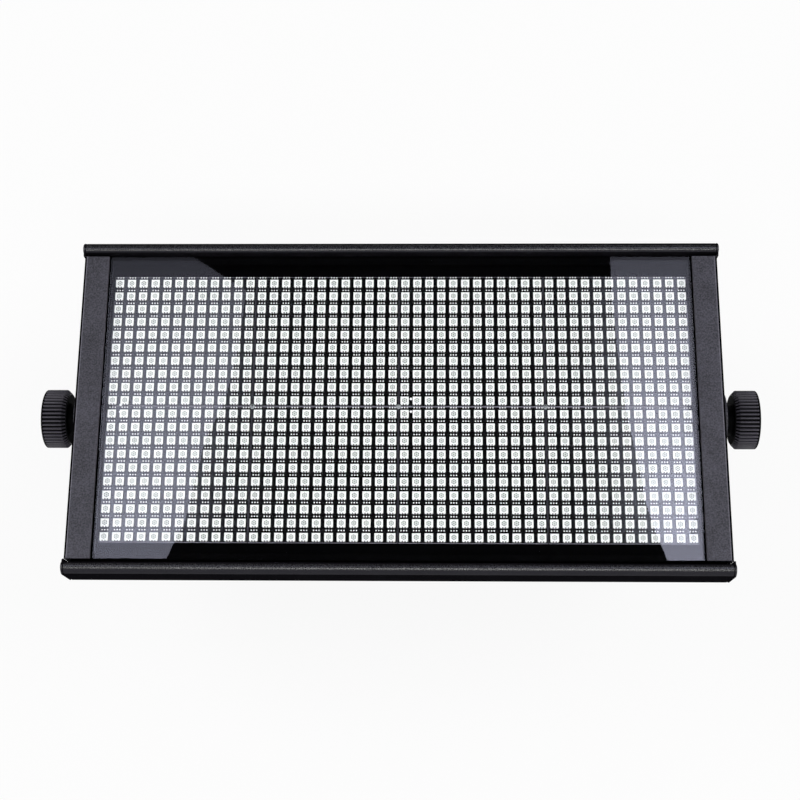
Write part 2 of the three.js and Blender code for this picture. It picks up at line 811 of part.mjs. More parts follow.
function dataSocketBody() {
  const flange = prism(roundedRectangle(dataFlangeWidth / 2, dataFlangeHeight / 2, dataKeyGroove),
    alongZ, flangeRearLevel, coverRear - fit);
  const barrel = rod(dataBarrelRadius, flangeRearLevel, flangeRearLevel + dataBarrelDepth,
    discFacetCount);
  return flange.add(barrel);
}

function dataInlet() {
  const floor = flangeRearLevel + dataCupDepth;
  const cup = rod(dataCupRadius, flangeRearLevel - overrun, floor, discFacetCount);
  const pins = dataPinPlaces().map(([x, y]) => rod(dataPinRadius, flangeRearLevel + dataPinRadius,
    floor + overrun, arcFacetCount, x, y));
  const body = dataSocketBody().subtract(cup).add(joined(pins));
  return piece('data_inlet', body, 'blackPlastic', dataInOffset, -socketDrop);
}

const latchSeat = dataCupRadius - latchHeight / 2;

function dataOutlet() {
  const grooveRing = ring(dataCupRadius - dataKeyGroove, dataCupRadius, flangeRearLevel - overrun,
    flangeRearLevel + dataCupDepth, discFacetCount);
  const holes = dataPinPlaces().map(([x, y]) => rod(dataPinRadius + fit, flangeRearLevel - overrun,
    flangeRearLevel + dataCupDepth, arcFacetCount, x, y));
  const slot = block(-latchWidth / 2 - fit, latchWidth / 2 + fit, latchSeat - latchHeight / 2 - fit,
    latchSeat + latchHeight / 2 + fit, flangeRearLevel - overrun, flangeRearLevel + dataCupDepth);
  const body = dataSocketBody().subtract(joined([grooveRing, slot, ...holes]));
  return piece('data_outlet', body, 'blackPlastic', dataOutOffset, -socketDrop);
}

function dataLatch() {
  const tab = block(-latchWidth / 2, latchWidth / 2, -latchHeight / 2, latchHeight / 2, 0, latchLength);
  return piece('data_outlet_latch', tab, 'steel', dataOutOffset, latchSeat - socketDrop,
    flangeRearLevel - latchProud);
}

// Mains sockets: the inlet has three blades in a cavity, the outlet a slotted block

function mainsBody() {
  const flange = prism(roundedRectangle(mainsFlangeWidth / 2, mainsFlangeHeight / 2, mainsCornerCut),
    alongZ, flangeRearLevel, coverRear - fit);
  const body = block(-mainsBodyWidth / 2, mainsBodyWidth / 2, -mainsBodyHeight / 2,
    mainsBodyHeight / 2, flangeRearLevel, flangeRearLevel + mainsBodyDepth);
  return flange.add(body);
}

const mainsCavityWidth = mainsBodyWidth - 2 * mainsWall;
const mainsCavityHeight = mainsBodyHeight - 2 * mainsWall;

function mainsCavity() {
  const shape = clippedRectangle(mainsCavityWidth / 2, mainsCavityHeight / 2, mainsCornerCut);
  return prism(shape, alongZ, flangeRearLevel - overrun, flangeRearLevel + mainsCavityDepth);
}

const bladePlaces = [[-bladeSpread, -bladeRise], [bladeSpread, -bladeRise], [0, bladeRise]];

function mainsBlades(extra, start, end) {
  return bladePlaces.map(([x, y]) => block(x - bladeHalfThickness - extra,
    x + bladeHalfThickness + extra, y - bladeHalfWidth - extra, y + bladeHalfWidth + extra, start, end));
}

function mainsInlet() {
  const floor = flangeRearLevel + mainsCavityDepth;
  const blades = mainsBlades(0, floor - bladeLength, floor + overrun);
  const body = mainsBody().subtract(mainsCavity()).add(joined(blades));
  return piece('mains_inlet', body, 'blackPlastic', -mainsInOffset, -socketDrop);
}

function mainsOutlet() {
  const core = clippedRectangle(mainsCavityWidth / 2 - mainsBlockMargin,
    mainsCavityHeight / 2 - mainsBlockMargin, mainsCornerCut);
  const floor = flangeRearLevel + mainsCavityDepth;
  const plug = prism(core, alongZ, flangeRearLevel, floor + overrun);
  const slots = mainsBlades(fit, flangeRearLevel - overrun, floor);
  const body = mainsBody().subtract(mainsCavity()).add(plug).subtract(joined(slots));
  return piece('mains_outlet', body, 'blackPlastic', -mainsOutOffset, -socketDrop);
}

// The fuse holder and its turning cap

function fuseHolder() {
  const rear = coverRear - fit - fuseFlangeThickness;
  const flange = rod(fuseBodyRadius + fuseFlangeWidth, rear, coverRear - fit, discFacetCount);
  const body = rod(fuseBodyRadius, rear, rear + fuseBodyDepth, discFacetCount);
  const bore = rod(fuseCapRadius + fit, rear - overrun, rear + fuseCapDepth + fit, discFacetCount);
  return piece('fuse_holder', flange.add(body).subtract(bore), 'blackPlastic', -fuseOffset, -fuseDrop);
}

function fuseCap() {
  const length = fuseCapProud + fuseCapDepth;
  const slot = block(-fuseCapRadius - overrun, fuseCapRadius + overrun, -fuseSlotWidth / 2,
    fuseSlotWidth / 2, -overrun, fuseSlotDepth);
  const cap = rod(fuseCapRadius, 0, length, discFacetCount).subtract(slot);
  return piece('fuse_cap', cap, 'blackPlastic', -fuseOffset, -fuseDrop,
    coverRear - fit - fuseFlangeThickness - fuseCapProud);
}

// The eye for a safety cable, a foot plate with an upright loop

function safetyEye() {
  const front = coverRear - fit;
  const foot = front - eyeBaseThickness;
  const loopRadius = eyeHoleRadius + eyeWall;
  const middle = foot - eyeHoleRadius - eyeWall / 2;
  const loop = new THREE.Shape();
  loop.moveTo(front, loopRadius);
  loop.lineTo(middle, loopRadius);
  loop.absarc(middle, 0, loopRadius, Math.PI / 2, 3 * Math.PI / 2);
  loop.lineTo(front, -loopRadius);
  const hole = new THREE.Path();
  hole.absarc(middle, 0, eyeHoleRadius, 0, 2 * Math.PI);
  loop.holes.push(hole);
  const upright = prism(loop, alongY, -eyeThickness / 2, eyeThickness / 2);
  const base = block(-eyeBaseWidth / 2, eyeBaseWidth / 2, -eyeBaseHeight / 2, eyeBaseHeight / 2,
    foot, front);
  return piece('safety_eye', upright.add(base), 'steel', 0, coverRearHalf - eyeInset);
}

// A slotted screw through the cover into the tab of a side plate

function coverScrew(name, side, end) {
  const top = screwHeadHeight + screwLength;
  const slot = block(-screwHeadRadius - overrun, screwHeadRadius + overrun, -screwSlotWidth / 2,
    screwSlotWidth / 2, -overrun, screwSlotDepth);
  const screw = rod(screwHeadRadius, 0, screwHeadHeight).add(rod(screwShankRadius, 0, top));
  return piece(name, screw.subtract(slot), 'steel', side * screwX, end * screwY,
    coverRear - fit - screwHeadHeight);
}

// The yoke: a strip bent to a U, with round ends at the pivots

function yoke() {
  const outer = armOuter;
  const inner = armInner;
  const top = pivotHeight + yokeEndRadius;
  const bend = yokeBendRadius;
  const innerBend = yokeBendRadius - yokeSheet;
  // Drawn with height first and width second, as the strip is extruded along Y
  const strip = new THREE.Shape();
  strip.moveTo(top, outer);
  strip.lineTo(bend, outer);
  strip.absarc(bend, outer - bend, bend, Math.PI / 2, Math.PI);
  strip.absarc(bend, bend - outer, bend, Math.PI, 3 * Math.PI / 2);
  strip.lineTo(top, -outer);
  strip.lineTo(top, -inner);
  strip.absarc(bend, bend - outer, innerBend, 3 * Math.PI / 2, Math.PI, true);
  strip.absarc(bend, outer - bend, innerBend, Math.PI, Math.PI / 2, true);
  strip.lineTo(top, inner);
  const band = prism(strip, alongY, -yokeWidth / 2, yokeWidth / 2);
  const side = new THREE.Shape();
  side.moveTo(-yokeWidth / 2, -overrun);
  side.lineTo(yokeWidth / 2, -overrun);
  side.lineTo(yokeWidth / 2, yokeShoulder);
  side.absarc(0, pivotHeight, yokeEndRadius, 0, Math.PI);
  side.lineTo(-yokeWidth / 2, yokeShoulder);
  const profile = prism(side, alongX, -outer - overrun, outer + overrun);
  const pivotHole = crossRod(studRadius + fit, -outer - overrun, outer + overrun)
    .translate([0, 0, pivotHeight]);
  const holes = [rod(yokeCentreHoleRadius, -overrun, yokeSheet + overrun)];
  for (const end of [-1, 1]) {
    holes.push(rod(yokeSideHoleRadius, -overrun, yokeSheet + overrun, holeFacetCount,
      end * yokeSideHoleOffset));
  }
  return piece('yoke', band.intersect(profile).subtract(joined([pivotHole, ...holes])), 'blackPowderCoat');
}

// Pieces on the pivot line, drawn along X on the positive side and mirrored for the other

function onSide(name, solid, side, finish) {
  return piece(name, side > 0 ? solid : solid.mirror([1, 0, 0]), finish);
}

function frictionWasher(name, side) {
  const washer = crossRod(frictionWasherRadius, washerInner, washerInner + frictionWasherThickness,
    discFacetCount);
  const hole = crossRod(studRadius + fit, washerInner - overrun, armInner + overrun);
  return onSide(name, washer.subtract(hole), side, 'nylon');
}

function pivotNut(name, side) {
  const nut = crossRod(nutFlatRadius, innerHalfWidth - nutThickness, innerHalfWidth,
    nutSideCount);
  const hole = crossRod(studRadius + fit, innerHalfWidth - nutThickness - overrun,
    innerHalfWidth + overrun);
  return onSide(name, nut.subtract(hole), side, 'steel');
}

function knobStud(name, side) {
  const stud = crossRod(studRadius, innerHalfWidth - nutThickness, knobInner + studInKnob - fit);
  return onSide(name, stud, side, 'steel');
}

// The clamp knob: a hub, a smooth collar and a ribbed rim with a shallow dish in its face
function clampKnob(name, side) {
  const collarStart = knobWidth - knobRibbedWidth - knobCollarWidth;
  const ribStart = knobWidth - knobRibbedWidth;
  const ribs = [];
  for (let index = 0; index < 2 * knobRibCount; index += 1) {
    const angle = Math.PI * index / knobRibCount;
    const radius = index % 2 === 0 ? knobRadius : knobRadius - knobRibDepth;
    ribs.push([radius * Math.cos(angle), radius * Math.sin(angle)]);
  }
  const rim = prism(outline(ribs), alongX, knobInner + ribStart, knobInner + knobWidth);
  const collar = crossRod(knobCollarRadius, knobInner + collarStart, knobInner + ribStart + fit,
    discFacetCount);
  const hub = crossRod(knobHubRadius, knobInner, knobInner + ribStart, discFacetCount);
  const dish = crossRod(knobDishRadius, knobInner + knobWidth - knobDishDepth,
    knobInner + knobWidth + overrun, discFacetCount);
  const bore = crossRod(studRadius + fit, knobInner - overrun, knobInner + studInKnob);
  return onSide(name, joined([rim, collar, hub]).subtract(joined([dish, bore])), side, 'blackPlastic');
}

// The assembly: the head turns in the yoke about the pivot line

const head = new THREE.Group();
head.position.set(0, 0, pivotHeight);
head.add(frontBar('top_bar', 1));
head.add(frontBar('bottom_bar', -1));
for (const [end, endName] of [[-1, 'left'], [1, 'right']]) {
  head.add(endCap(`top_${endName}_end_cap`, 1, end));
  head.add(endCap(`bottom_${endName}_end_cap`, -1, end));
  head.add(sidePlate(`${endName}_side_plate`, end));
  head.add(frictionWasher(`${endName}_friction_washer`, end));
  head.add(pivotNut(`${endName}_pivot_nut`, end));
  head.add(knobStud(`${endName}_knob_stud`, end));
  head.add(clampKnob(`${endName}_clamp_knob`, end));
  head.add(fanFrame(`${endName}_fan_frame`, end * fanOffset));
  head.add(fanRotor(`${endName}_fan_rotor`, end * fanOffset));
  head.add(fanGuard(`${endName}_fan_guard`, end * fanOffset));
}
head.add(frontGlass(), glassSeal(), carrierPlate(), heatSink(), rearCover());
head.add(...lampBoards());
head.add(powerSupply(), driverBoard(), controlBoard(), controlPanel(), displayWindow());
for (let index = 0; index < buttonCount; index += 1) {
  head.add(controlButton(`control_button_${index + 1}`, index));
}
head.add(dataInlet(), dataOutlet(), dataLatch(), mainsInlet(), mainsOutlet());
head.add(fuseHolder(), fuseCap(), safetyEye());
for (const [number, side, end] of [[1, -1, 1], [2, 1, 1], [3, 1, -1], [4, -1, -1]]) {
  head.add(coverScrew(`cover_screw_${number}`, side, end));
}

const strobe = new THREE.Group();
strobe.add(yoke(), head);

export default strobe;
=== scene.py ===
# %% [markdown]
# # A flat LED strobe head on its yoke
#
# This lesson dresses a flat LED panel strobe. The solids of the real construction are loaded as
# a fixed frame, and every visible surface is then modelled or finished around them.
# All lengths are in metres, and the light of the head points up, along +Z.

# %% Load the frame
import json
import math

import bmesh
import bpy
from mathutils import Euler, Matrix, Vector

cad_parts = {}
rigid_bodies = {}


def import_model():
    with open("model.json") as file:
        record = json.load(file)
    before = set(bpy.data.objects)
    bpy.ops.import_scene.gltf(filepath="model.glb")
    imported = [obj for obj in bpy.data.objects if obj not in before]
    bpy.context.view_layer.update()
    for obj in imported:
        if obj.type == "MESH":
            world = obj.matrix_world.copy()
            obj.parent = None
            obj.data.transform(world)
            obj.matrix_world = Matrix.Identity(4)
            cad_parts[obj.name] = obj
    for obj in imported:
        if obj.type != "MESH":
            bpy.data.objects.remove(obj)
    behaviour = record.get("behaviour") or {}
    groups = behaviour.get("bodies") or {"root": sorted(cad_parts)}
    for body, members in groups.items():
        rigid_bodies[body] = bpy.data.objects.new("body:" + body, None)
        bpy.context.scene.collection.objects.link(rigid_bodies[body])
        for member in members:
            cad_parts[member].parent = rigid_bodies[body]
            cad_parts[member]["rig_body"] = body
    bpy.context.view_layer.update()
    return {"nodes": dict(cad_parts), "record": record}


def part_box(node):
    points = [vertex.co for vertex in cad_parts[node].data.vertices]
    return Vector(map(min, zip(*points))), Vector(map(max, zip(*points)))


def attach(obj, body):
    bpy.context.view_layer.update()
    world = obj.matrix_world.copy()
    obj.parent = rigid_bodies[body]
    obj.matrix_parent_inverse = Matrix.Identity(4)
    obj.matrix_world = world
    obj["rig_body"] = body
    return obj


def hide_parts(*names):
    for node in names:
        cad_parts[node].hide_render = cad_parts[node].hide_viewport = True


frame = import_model()
MM = 0.001

# %% [markdown]
# A few helpers carry the whole lesson. Colours are written as sRGB hex values, as a colour
# picker shows them, and one function turns them to the linear values that shaders take.
# One function adds a node to any tree, sets its values and links its inputs.


# %% Helpers for colours and nodes
def srgb(code):
    parts = [int(code[i:i + 2], 16) / 255 for i in (1, 3, 5)]
    linear = [c / 12.92 if c <= 0.04045 else ((c + 0.055) / 1.055) ** 2.4 for c in parts]
    return (*linear, 1.0)


def add_node(tree, kind, settings=None, **inputs):
    """Adds a node, sets its own settings, then fills each named input with a value or a link."""
    node = tree.nodes.new(kind)
    for key, value in (settings or {}).items():
        setattr(node, key, value)
    for key, value in inputs.items():
        numbered = key[0] == "i" and key[1:].isdigit()
        socket = node.inputs[int(key[1:]) if numbered else key.replace("_", " ")]
        if isinstance(value, bpy.types.NodeSocket):
            tree.links.new(value, socket)
        else:
            socket.default_value = value
    return node


def calc(tree, operation, *values):
    """The output of a Math node."""
    inputs = {f"i{number}": value for number, value in enumerate(values)}
    return add_node(tree, "ShaderNodeMath", {"operation": operation}, **inputs).outputs[0]


def ranged(tree, value, source, target=(0.0, 1.0), smooth=False):
    """Takes a value from one range to another and holds it there, with soft ends if smooth."""
    kind = {"interpolation_type": "SMOOTHSTEP" if smooth else "LINEAR"}
    return add_node(tree, "ShaderNodeMapRange", kind, Value=value, From_Min=source[0], From_Max=source[1],
                    To_Min=target[0], To_Max=target[1]).outputs[0]


def mixed(tree, share, one, two):
    """The output of a Mix Shader node."""
    return add_node(tree, "ShaderNodeMixShader", i0=share, i1=one, i2=two).outputs[0]


def tinted(tree, share, one, two):
    """A colour between two sRGB colours."""
    return add_node(tree, "ShaderNodeMix", {"data_type": "RGBA"}, i0=share, i6=srgb(one),
                    i7=srgb(two)).outputs[2]


def new_material(name, **values):
    """A material with one Principled shader; plain numbers and colours go on its own sockets."""
    material = bpy.data.materials.new(name)
    material.use_nodes = True
    shader = material.node_tree.nodes["Principled BSDF"]
    for key, value in values.items():
        shader.inputs[key.replace("_", " ")].default_value = value
    return material, material.node_tree, shader


def object_coordinates(tree, scale=1.0, stretch=(1, 1, 1)):
    place = add_node(tree, "ShaderNodeTexCoord")
    sizes = tuple(scale * s for s in stretch)
    return add_node(tree, "ShaderNodeMapping", Vector=place.outputs["Object"], Scale=sizes).outputs[0]


# %% [markdown]
# Meshes come from outlines. An outline is drawn flat and pushed along an axis to a closed
# solid, and the edges that the real piece has broken or rounded get a small bevel, because a
# bevel is what catches light along an edge.


# %% Helpers for meshes
def finish_mesh(name, bm, material=None, smooth_angle=35):
    """Turns a bmesh into an object at the origin, with its faces pointing outwards."""
    bmesh.ops.remove_doubles(bm, verts=bm.verts, dist=1e-7)
    bmesh.ops.recalc_face_normals(bm, faces=bm.faces)
    mesh = bpy.data.meshes.new(name)
    bm.to_mesh(mesh)
    bm.free()
    if material:
        mesh.materials.append(material)
    if smooth_angle:
        mesh.shade_smooth()
        mesh.set_sharp_from_angle(angle=math.radians(smooth_angle))
    return in_scene(name, mesh)


def in_scene(name, data):
    thing = bpy.data.objects.new(name, data)
    bpy.context.scene.collection.objects.link(thing)
    return thing


def as_part(piece):
    """Takes a finished piece out of the scene, for a node tree to place."""
    bpy.context.scene.collection.objects.unlink(piece)
    return piece


AXES = {
    "x": Matrix(((0, 0, 1), (1, 0, 0), (0, 1, 0))),
    "y": Matrix(((0, 1, 0), (0, 0, 1), (1, 0, 0))),
    "z": Matrix.Identity(3),
}


def bridge(bm, *rows, ends=False):
    """Joins rows of points with four-sided faces, and closes both ends where asked to."""
    for one, two in zip(rows, rows[1:]):
        for i in range(len(one)):
            j = (i + 1) % len(one)
            bm.faces.new((one[i], one[j], two[j], two[i]))
    if ends:
        bm.faces.new(rows[0])
        bm.faces.new(rows[-1])


def prism(bm, outline, axis, start, end):
    """A closed solid: an outline in the two axes that follow the named one, pushed along it."""
    turn = AXES[axis]
    low = [bm.verts.new(turn @ Vector((a, b, start))) for a, b in outline]
    high = [bm.verts.new(turn @ Vector((a, b, end))) for a, b in outline]
    bm.faces.new(list(reversed(low)))
    bm.faces.new(high)
    bridge(bm, low, high)


def box(bm, low, high):
    outline = [(low[0], low[1]), (high[0], low[1]), (high[0], high[1]), (low[0], high[1])]
    prism(bm, outline, "z", low[2], high[2])


def circle(radius, count, x=0.0, y=0.0, start=0.0, sweep=2 * math.pi):
    whole = abs(sweep - 2 * math.pi) < 1e-9
    steps = count if whole else count - 1
    angles = [start + sweep * i / steps for i in range(count)]
    return [(x + radius * math.cos(a), y + radius * math.sin(a)) for a in angles]


def bevelled(piece, width, segments=2, angle=40):
    """Rounds the edges of a piece, and keeps its flat faces looking flat."""
    edges = piece.modifiers.new("edges", "BEVEL")
    edges.width = width
    edges.segments = segments
    edges.limit_method = "ANGLE"
    edges.angle_limit = math.radians(angle)
    shading = piece.modifiers.new("shading", "WEIGHTED_NORMAL")
    shading.keep_sharp = True
    return piece


def plain_mesh(piece):
    """Bakes the modifiers of a piece into its mesh, and takes the modifiers off."""
    graph = bpy.context.evaluated_depsgraph_get()
    graph.update()
    mesh = bpy.data.meshes.new_from_object(piece.evaluated_get(graph))
    piece.modifiers.clear()
    piece.data = mesh
    return piece


def turned(bm, profile, axis="z", centre=(0, 0), steps=48):
    """Spins a profile of (radius, level) pairs about an axis through the given centre."""
    rings = []
    for radius, level in profile:
        if radius:
            points = circle(radius, steps, *centre)
            rings.append([bm.verts.new(AXES[axis] @ Vector((x, y, level))) for x, y in points])
        else:
            rings.append([bm.verts.new(AXES[axis] @ Vector((*centre, level)))])
    for one, two in zip(rings, rings[1:]):
        for i in range(steps):
            j = i + 1
            corners = [one[i % len(one)], one[j % len(one)], two[j % len(two)], two[i % len(two)]]
            if len(set(corners)) > 2:
                bm.faces.new(list(dict.fromkeys(corners)))


def turned_piece(name, profile, material, centre=(0, 0), axis="z", steps=48, angle=35):
    bm = bmesh.new()
    turned(bm, profile, axis, centre, steps)
    return finish_mesh(name, bm, material, angle)


def in_mm(rows):
    """The points of an outline or a profile that is written in millimetres."""
    return [tuple(value * MM for value in row) for row in rows]


def cut_out(piece, tool, edge=0.0, segments=1, angle=50):
    """Cuts a tool out of a piece, as a drill does, breaks the edges and throws the tool away."""
    cut = piece.modifiers.new("cut", "BOOLEAN")
    cut.object, cut.operation, cut.solver = tool, "DIFFERENCE", "EXACT"
    plain_mesh(bevelled(piece, edge, segments, angle) if edge else piece)
    bpy.data.objects.remove(tool)
    return piece


def paint(piece, materials, choose):
    """Adds materials, and gives each face the one whose place in the list a rule returns, if any."""
    first = len(piece.data.materials)
    for material in materials:
        piece.data.materials.append(material)
    for face in piece.data.polygons:
        chosen = choose(face)
        if chosen is not None:
            face.material_index = first + chosen
    return piece


def rounded(half_x, half_y, radius, x=0.0, y=0.0, steps=6):
    """The outline of a rectangle with round corners."""
    points = []
    for turn, (a, b) in enumerate(((1, 1), (-1, 1), (-1, -1), (1, -1))):
        points += circle(radius, steps, x + a * (half_x - radius), y + b * (half_y - radius),
                         start=turn * math.pi / 2, sweep=math.pi / 2)
    return points


def plate(name, outer, holes, axis, start, end, material, edge=0.2 * MM):
    """A flat plate with holes. A filled 2D curve makes it, because it fills round any holes."""
    curve = bpy.data.curves.new(name, "CURVE")
    curve.dimensions, curve.fill_mode = "2D", "BOTH"
    curve.extrude = (end - start) / 2
    for outline in (outer, *holes):
        line = curve.splines.new("POLY")
        line.points.add(len(outline) - 1)
        for point, (x, y) in zip(line.points, outline):
            point.co = (x, y, 0, 1)
        line.use_cyclic_u = True
    carrier = in_scene(name, curve)
    bm = bmesh.new()
    graph = bpy.context.evaluated_depsgraph_get()
    graph.update()
    bm.from_mesh(bpy.data.meshes.new_from_object(carrier.evaluated_get(graph)))
    bpy.data.objects.remove(carrier)
    bmesh.ops.translate(bm, verts=bm.verts, vec=(0, 0, (start + end) / 2))
    bmesh.ops.transform(bm, matrix=AXES[axis].to_4x4(), verts=bm.verts)
    piece = finish_mesh(name, bm, material, 180)
    return plain_mesh(bevelled(piece, edge))


# %% [markdown]
# Repeated shapes are placed by Geometry Nodes. One tree lays copies of a part on a flat grid and
# another lays them round a circle. Each copy carries a random number from a fixed seed, so that
# a material can make neighbours differ a little.


# %% Node trees that repeat a part
def new_tree(name, inputs):
    tree = bpy.data.node_groups.new(name, "GeometryNodeTree")
    for label, kind, value in inputs:
        item = tree.interface.new_socket(label, in_out="INPUT", socket_type=kind)
        if value is not None:
            item.default_value = value
    tree.interface.new_socket("Geometry", in_out="OUTPUT", socket_type="NodeSocketGeometry")
    return tree, tree.nodes.new("NodeGroupInput"), tree.nodes.new("NodeGroupOutput")


def copies_on(tree, given, points, turn=None):
    """Sets the given part on points, marks each copy with a number and gives it the material."""
    part = add_node(tree, "GeometryNodeObjectInfo", Object=given.outputs["Part"])
    copies = add_node(tree, "GeometryNodeInstanceOnPoints", Points=points,
                      Instance=part.outputs["Geometry"])
    if turn is not None:
        tree.links.new(turn, copies.inputs["Rotation"])
    shade = add_node(tree, "FunctionNodeRandomValue", {"data_type": "FLOAT"}, Seed=given.outputs["Seed"])
    marked = add_node(tree, "GeometryNodeStoreNamedAttribute",
                      {"data_type": "FLOAT", "domain": "INSTANCE"},
                      Geometry=copies.outputs[0], Name="shade", Value=shade.outputs[1])
    real = add_node(tree, "GeometryNodeRealizeInstances", Geometry=marked.outputs[0])
    return add_node(tree, "GeometryNodeSetMaterial", Geometry=real.outputs[0],
                    Material=given.outputs["Material"]).outputs[0]


COMMON = [("Part", "NodeSocketObject", None), ("Seed", "NodeSocketInt", 7),
          ("Material", "NodeSocketMaterial", None)]


def grid_tree():
    tree, given, result = new_tree("copies_on_a_grid", [
        ("Columns", "NodeSocketInt", 12), ("Rows", "NodeSocketInt", 10),
        ("Pitch X", "NodeSocketFloat", 0.01), ("Pitch Y", "NodeSocketFloat", 0.01),
        ("Centre", "NodeSocketVector", None), *COMMON])
    spans = []
    for count, pitch in (("Columns", "Pitch X"), ("Rows", "Pitch Y")):
        gaps = calc(tree, "SUBTRACT", given.outputs[count], 1.0)
        spans.append(calc(tree, "MULTIPLY", gaps, given.outputs[pitch]))
    grid = add_node(tree, "GeometryNodeMeshGrid", Size_X=spans[0], Size_Y=spans[1],
                    Vertices_X=given.outputs["Columns"], Vertices_Y=given.outputs["Rows"])
    moved = add_node(tree, "GeometryNodeTransform", Geometry=grid.outputs["Mesh"],
                     Translation=given.outputs["Centre"])
    tree.links.new(copies_on(tree, given, moved.outputs[0]), result.inputs[0])
    return tree


def circle_tree():
    tree, given, result = new_tree("copies_round_a_circle", [
        ("Count", "NodeSocketInt", 12), ("Radius", "NodeSocketFloat", 0.01), *COMMON])
    ring = add_node(tree, "GeometryNodeMeshCircle", Vertices=given.outputs["Count"],
                    Radius=given.outputs["Radius"])
    place = add_node(tree, "GeometryNodeInputPosition")
    turn = add_node(tree, "FunctionNodeAlignRotationToVector", {"axis": "X"}, Vector=place.outputs[0])
    tree.links.new(copies_on(tree, given, ring.outputs["Mesh"], turn.outputs[0]), result.inputs[0])
    return tree


GRID, CIRCLE = grid_tree(), circle_tree()


def repeated(name, tree, **values):
    """Runs one of the trees on an empty mesh, and returns the copies as a plain mesh object."""
    carrier = in_scene(name, bpy.data.meshes.new(name))
    modifier = carrier.modifiers.new("copies", "NODES")
    modifier.node_group = tree
    sockets = [item for item in tree.interface.items_tree if item.in_out == "INPUT"]
    named = {item.name: item.identifier for item in sockets}
    for key, value in values.items():
        modifier[named[key.replace("_", " ")]] = value
    return plain_mesh(carrier)


def joined(name, pieces):
    """One object from several, each keeping its own materials."""
    bm = bmesh.new()
    materials = []
    for piece in pieces:
        part = bmesh.new()
        part.from_mesh(piece.data)
        for face in part.faces:
            material = piece.data.materials[face.material_index]
            if material not in materials:
                materials.append(material)
            face.material_index = materials.index(material)
        scratch = bpy.data.meshes.new("scratch")
        part.to_mesh(scratch)
        part.free()
        bm.from_mesh(scratch)
        bpy.data.meshes.remove(scratch)
    mesh = bpy.data.meshes.new(name)
    bm.to_mesh(mesh)
    bm.free()
    for material in materials:
        mesh.materials.append(material)
    for piece in pieces:
        bpy.data.objects.remove(piece)
    return in_scene(name, mesh)


print("trees:", GRID.name, CIRCLE.name)

# %% [markdown]
# The camera stands above the head and a little below its middle, as the photograph's did, and
# looks down at about sixteen degrees from straight above.

# %% Camera
CAMERA_PLACE, CAMERA_TURN = (0.01935, -0.2207, 0.9260), (16.004, 1.233, 0.43)
FOCAL_LENGTH, SENSOR = 64.89, 36
camera = in_scene("camera", bpy.data.cameras.new("camera"))
camera.data.lens = FOCAL_LENGTH
camera.data.sensor_width = SENSOR
camera.location = CAMERA_PLACE
camera.rotation_euler = Euler([math.radians(a) for a in CAMERA_TURN])
bpy.context.scene.camera = camera
print("camera at", tuple(round(c, 3) for c in camera.location))

# %% [markdown]
# The room is a white floor with pale walls and a dark ceiling. What the camera, a mirror or a
# pane sees of floor and walls is plain white, while the lamps stay at a level at which a colour
# renders as it is written. Gloss sees less of the far wall, so that shoulders stay dark.

# %% Floor, room and lamps
scene = bpy.context.scene
scene.view_settings.view_transform = "Standard"


def seen_directly(tree):
    """One where a ray comes from the camera, a mirror-like surface or through a pane, else zero."""
    ray = add_node(tree, "ShaderNodeLightPath").outputs
    either = calc(tree, "MAXIMUM", ray["Is Camera Ray"], ray["Is Glossy Ray"])
    return calc(tree, "MAXIMUM", either, ray["Is Transmission Ray"])


CEILING_START, CEILING_LEVEL, FAR_START, FAR_SHARE = (0.35, 0.75), 0.012, (-0.1, 0.4), 0.9
ROOM_LIGHT, FLOOR_GLOW, FLOOR_REACH = 0.30, 0.9, 30
world = bpy.data.worlds.new("studio")
world.use_nodes = True
scene.world = world
tree = world.node_tree
sky = add_node(tree, "ShaderNodeTexCoord")
height = add_node(tree, "ShaderNodeSeparateXYZ", Vector=sky.outputs["Generated"])
walls = ranged(tree, height.outputs["Z"], CEILING_START, (1.0, CEILING_LEVEL), smooth=True)
far = ranged(tree, height.outputs["Y"], FAR_START, (0.0, FAR_SHARE))
ray = add_node(tree, "ShaderNodeLightPath").outputs
kept = calc(tree, "SUBTRACT", 1.0, calc(tree, "MULTIPLY", far, ray["Is Glossy Ray"]))
shown = add_node(tree, "ShaderNodeMix", {"data_type": "FLOAT"}, Factor=seen_directly(tree), A=ROOM_LIGHT,
                 B=calc(tree, "MULTIPLY", walls, kept))
tree.links.new(shown.outputs[0], tree.nodes["Background"].inputs["Strength"])
tree.nodes["Background"].inputs["Color"].default_value = srgb("#ffffff")

floor_paint, tree, shader = new_material("white_floor_paint", Base_Color=srgb("#f4f4f4"), Roughness=0.9)
glow = add_node(tree, "ShaderNodeEmission", Color=srgb("#ffffff"), Strength=1.0)
share = calc(tree, "MULTIPLY", seen_directly(tree), FLOOR_GLOW)
upper = mixed(tree, share, shader.outputs[0], glow.outputs[0])
side = add_node(tree, "ShaderNodeNewGeometry")
clear = add_node(tree, "ShaderNodeBsdfTransparent")
whole = mixed(tree, side.outputs["Backfacing"], upper, clear.outputs[0])
tree.links.new(whole, tree.nodes["Material Output"].inputs["Surface"])


def staged_sheet(name, outline, level, material):
    """A flat sheet that belongs to the room and not to the object."""
    bm = bmesh.new()
    bm.faces.new([bm.verts.new((x, y, level)) for x, y in outline])
    finish_mesh(name, bm, material, 0)


corners = ((-1, -1), (1, -1), (1, 1), (-1, 1))
staged_sheet("floor", [(a * FLOOR_REACH, b * FLOOR_REACH) for a, b in corners], 0, floor_paint)


